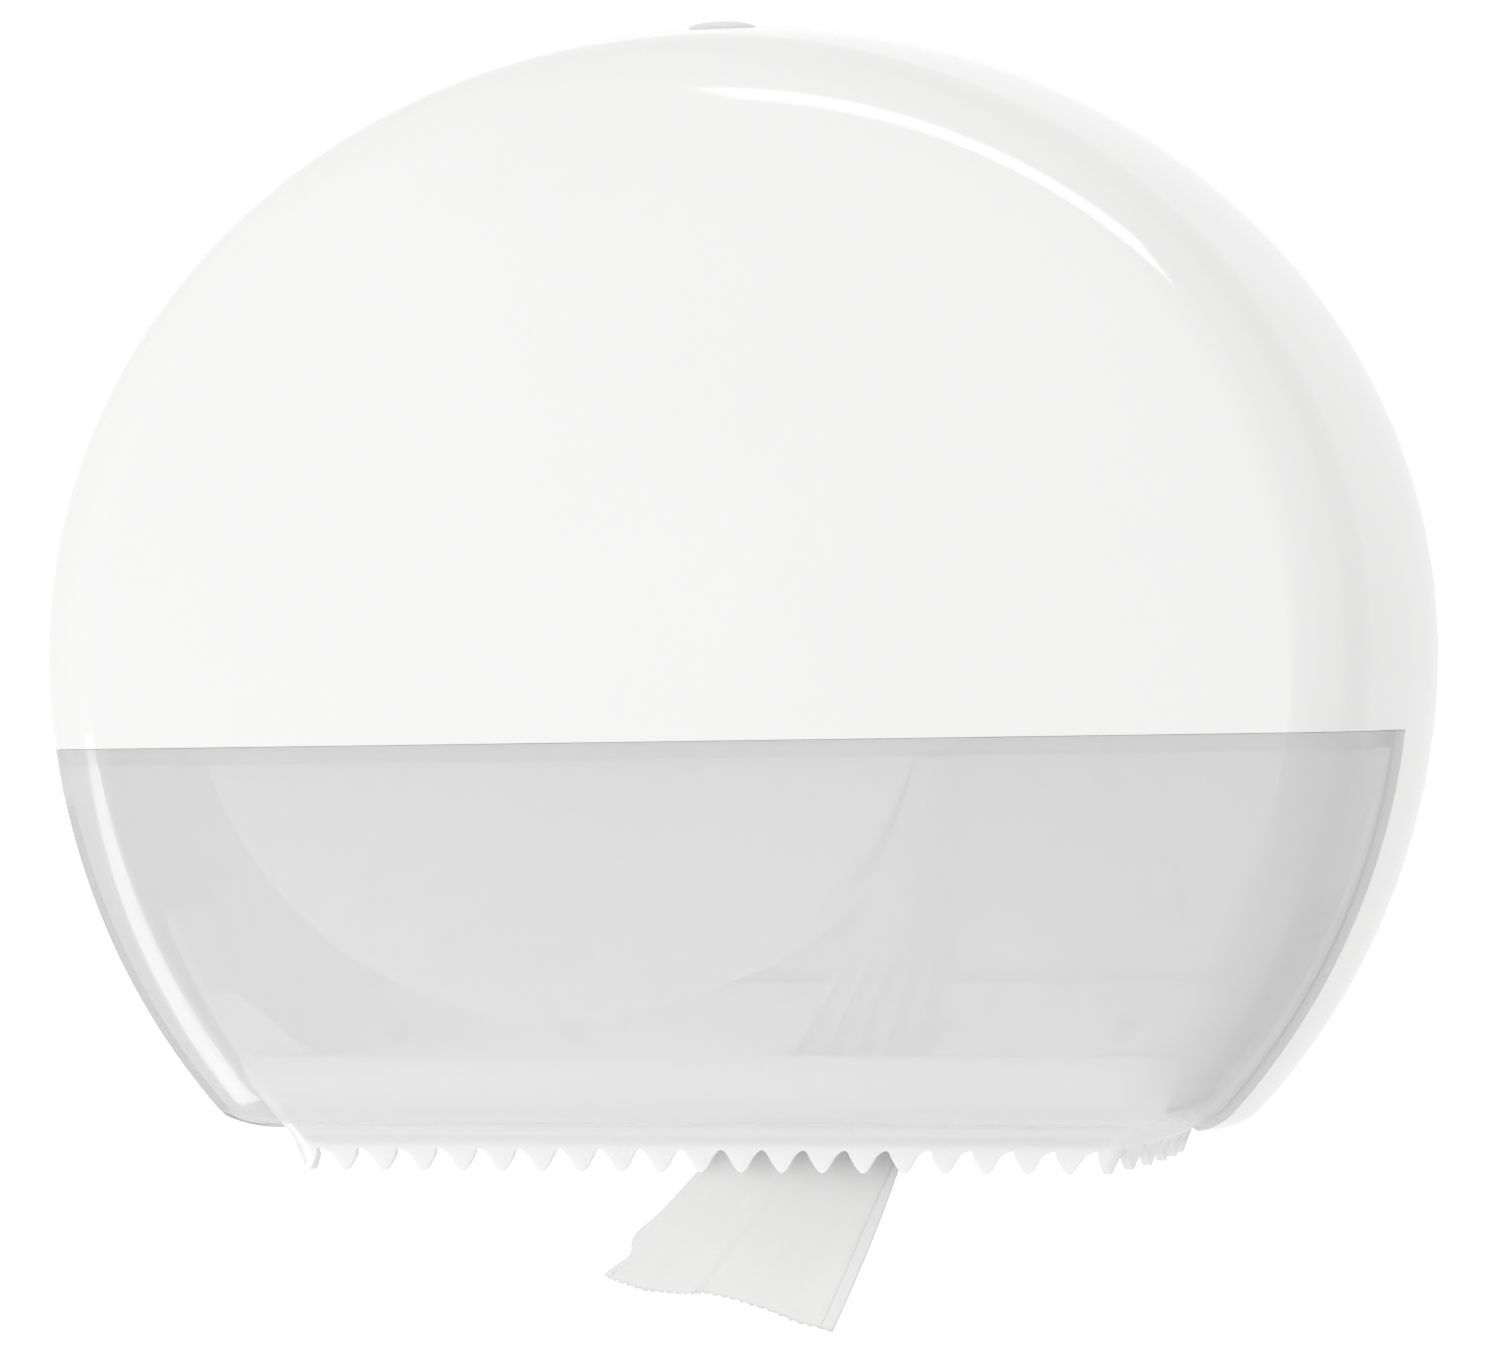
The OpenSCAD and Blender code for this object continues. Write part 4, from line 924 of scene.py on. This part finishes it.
def aim_camera(azimuth, elevation, roll_angle, lens, place):
    back, a, turn = direction(azimuth, elevation), math.radians(azimuth), math.radians(roll_angle)
    right = Vector((math.cos(a), math.sin(a), 0.0))
    up = back.cross(right)
    data = bpy.data.cameras.new("camera")
    data.sensor_width, data.lens = 36.0, lens
    data.clip_start, data.clip_end = 0.05, 50.0
    camera = new_object("camera", data)
    m = Matrix((right * math.cos(turn) - up * math.sin(turn),
                right * math.sin(turn) + up * math.cos(turn), back)).transposed().to_4x4()
    m.translation = Vector(place)
    camera.matrix_world = m
    bpy.context.scene.camera = camera


aim_camera(azimuth=10.8, elevation=-0.43, roll_angle=0.86, lens=95.93,
           place=(0.2412, -1.2701, -0.0250))

# ---- Lamps: key and fill light the surfaces, the strips only show as reflections ----
CENTRE = (0, -0.07, 0.0)


def area_light(name, azimuth, elevation, distance, width, height, power, target=CENTRE):
    back = direction(azimuth, elevation)
    data = bpy.data.lights.new(name, "AREA")
    data.shape, data.size, data.size_y, data.energy = "RECTANGLE", width, height, power
    lamp = new_object(name, data)
    lamp.location = Vector(target) + back * distance
    lamp.rotation_mode = "QUATERNION"
    lamp.rotation_quaternion = (-back).to_track_quat("-Z", "Y")
    lamp.visible_camera = False
    return lamp


key = area_light("key", -18, 3, distance=2.0, width=1.2, height=1.2, power=5.2)
low_fill = area_light("low_fill", -36, -26, distance=1.7, width=1.2, height=0.5, power=3.5)
key.visible_glossy = low_fill.visible_glossy = False
# The left strip stays close to the left fillet, so that the face doesn't mirror it from the right.
left_strip = area_light("left_strip", -62, -28, distance=0.22, width=0.15, height=0.35,
                        power=0.56, target=(-0.2, -0.1, -0.105))
top_strip = area_light("top_strip", 20, 48, distance=2.0, width=1.6, height=0.34, power=6.8)
left_strip.visible_diffuse = top_strip.visible_diffuse = False

# ---- World and floor: white to the eye and in gloss, with painted shade where the camera sees them through the tinted window ----
# The third level is painted shade: the world's strength where the camera sees it through the
# window.
WORLD_LIGHT, WORLD_SEEN, WORLD_PAINTED_SHADE = 0.88, 1.0, 0.5
FLOOR_HALF, FLOOR_Z = 40.0, -0.9
# The second floor colour is painted shade: the floor's colour where the camera sees it through the
# window.
FLOOR_TINT, FLOOR_PAINTED_SHADE, FLOOR_GLOW, GLOSS_SHARE = grey(0.8), grey(0.1), grey(0.6), 0.5


def painted_shade_mask(tree, path):
    """1 for camera rays that have passed a see-through surface, else 0: where the shade is
    painted.
    """
    return combine(tree, "MULTIPLY", path.outputs["Transparent Depth"],
                   path.outputs["Is Camera Ray"], clamp=True)


def studio_world():
    world = bpy.data.worlds.new("studio")
    bpy.context.scene.world = world
    world.use_nodes = True
    tree = world.node_tree
    background = next(n for n in tree.nodes if n.type == "BACKGROUND")
    path = tree.nodes.new("ShaderNodeLightPath")
    seen = combine(tree, "MAXIMUM", path.outputs["Is Camera Ray"], path.outputs["Is Glossy Ray"])
    seen = combine(tree, "MAXIMUM", seen, path.outputs["Is Transmission Ray"])
    level = mapped(tree, seen, WORLD_LIGHT, WORLD_SEEN)
    # Painted shade: the world is dimmed where the camera sees it through the window.
    painted_shade = mapped(tree, painted_shade_mask(tree, path), 1.0, WORLD_PAINTED_SHADE)
    strength = combine(tree, "MULTIPLY", level, painted_shade)
    background.inputs["Color"].default_value = (1, 1, 1, 1)
    tree.links.new(strength, background.inputs["Strength"])


def studio_floor():
    mesh = bpy.data.meshes.new("floor")
    corners = [(-1, -1), (1, -1), (1, 1), (-1, 1)]
    mesh.from_pydata([(FLOOR_HALF * x, FLOOR_HALF * y, FLOOR_Z) for x, y in corners],
                     [], [(0, 1, 2, 3)])
    new_object("floor", mesh)
    mat, tree, bsdf = material("floor")
    bsdf.inputs["Roughness"].default_value = 0.9
    path = tree.nodes.new("ShaderNodeLightPath")
    # Painted shade: where the camera sees the floor through the window, it turns dark and doesn't
    # glow.
    behind = painted_shade_mask(tree, path)
    floor_tint_and_shade = ramp(tree, behind, FLOOR_TINT, FLOOR_PAINTED_SHADE, ends=(0.0, 1.0))
    tree.links.new(floor_tint_and_shade, bsdf.inputs["Base Color"])
    open_view = combine(tree, "SUBTRACT", path.outputs["Is Camera Ray"], behind, clamp=True)
    glow = combine(tree, "MULTIPLY_ADD", path.outputs["Is Glossy Ray"], GLOSS_SHARE, open_view)
    tree.links.new(glow, bsdf.inputs["Emission Strength"])
    bsdf.inputs["Emission Color"].default_value = (*FLOOR_GLOW, 1)
    mesh.materials.append(mat)


studio_world()
studio_floor()
bpy.context.scene.view_settings.view_transform = "Standard"
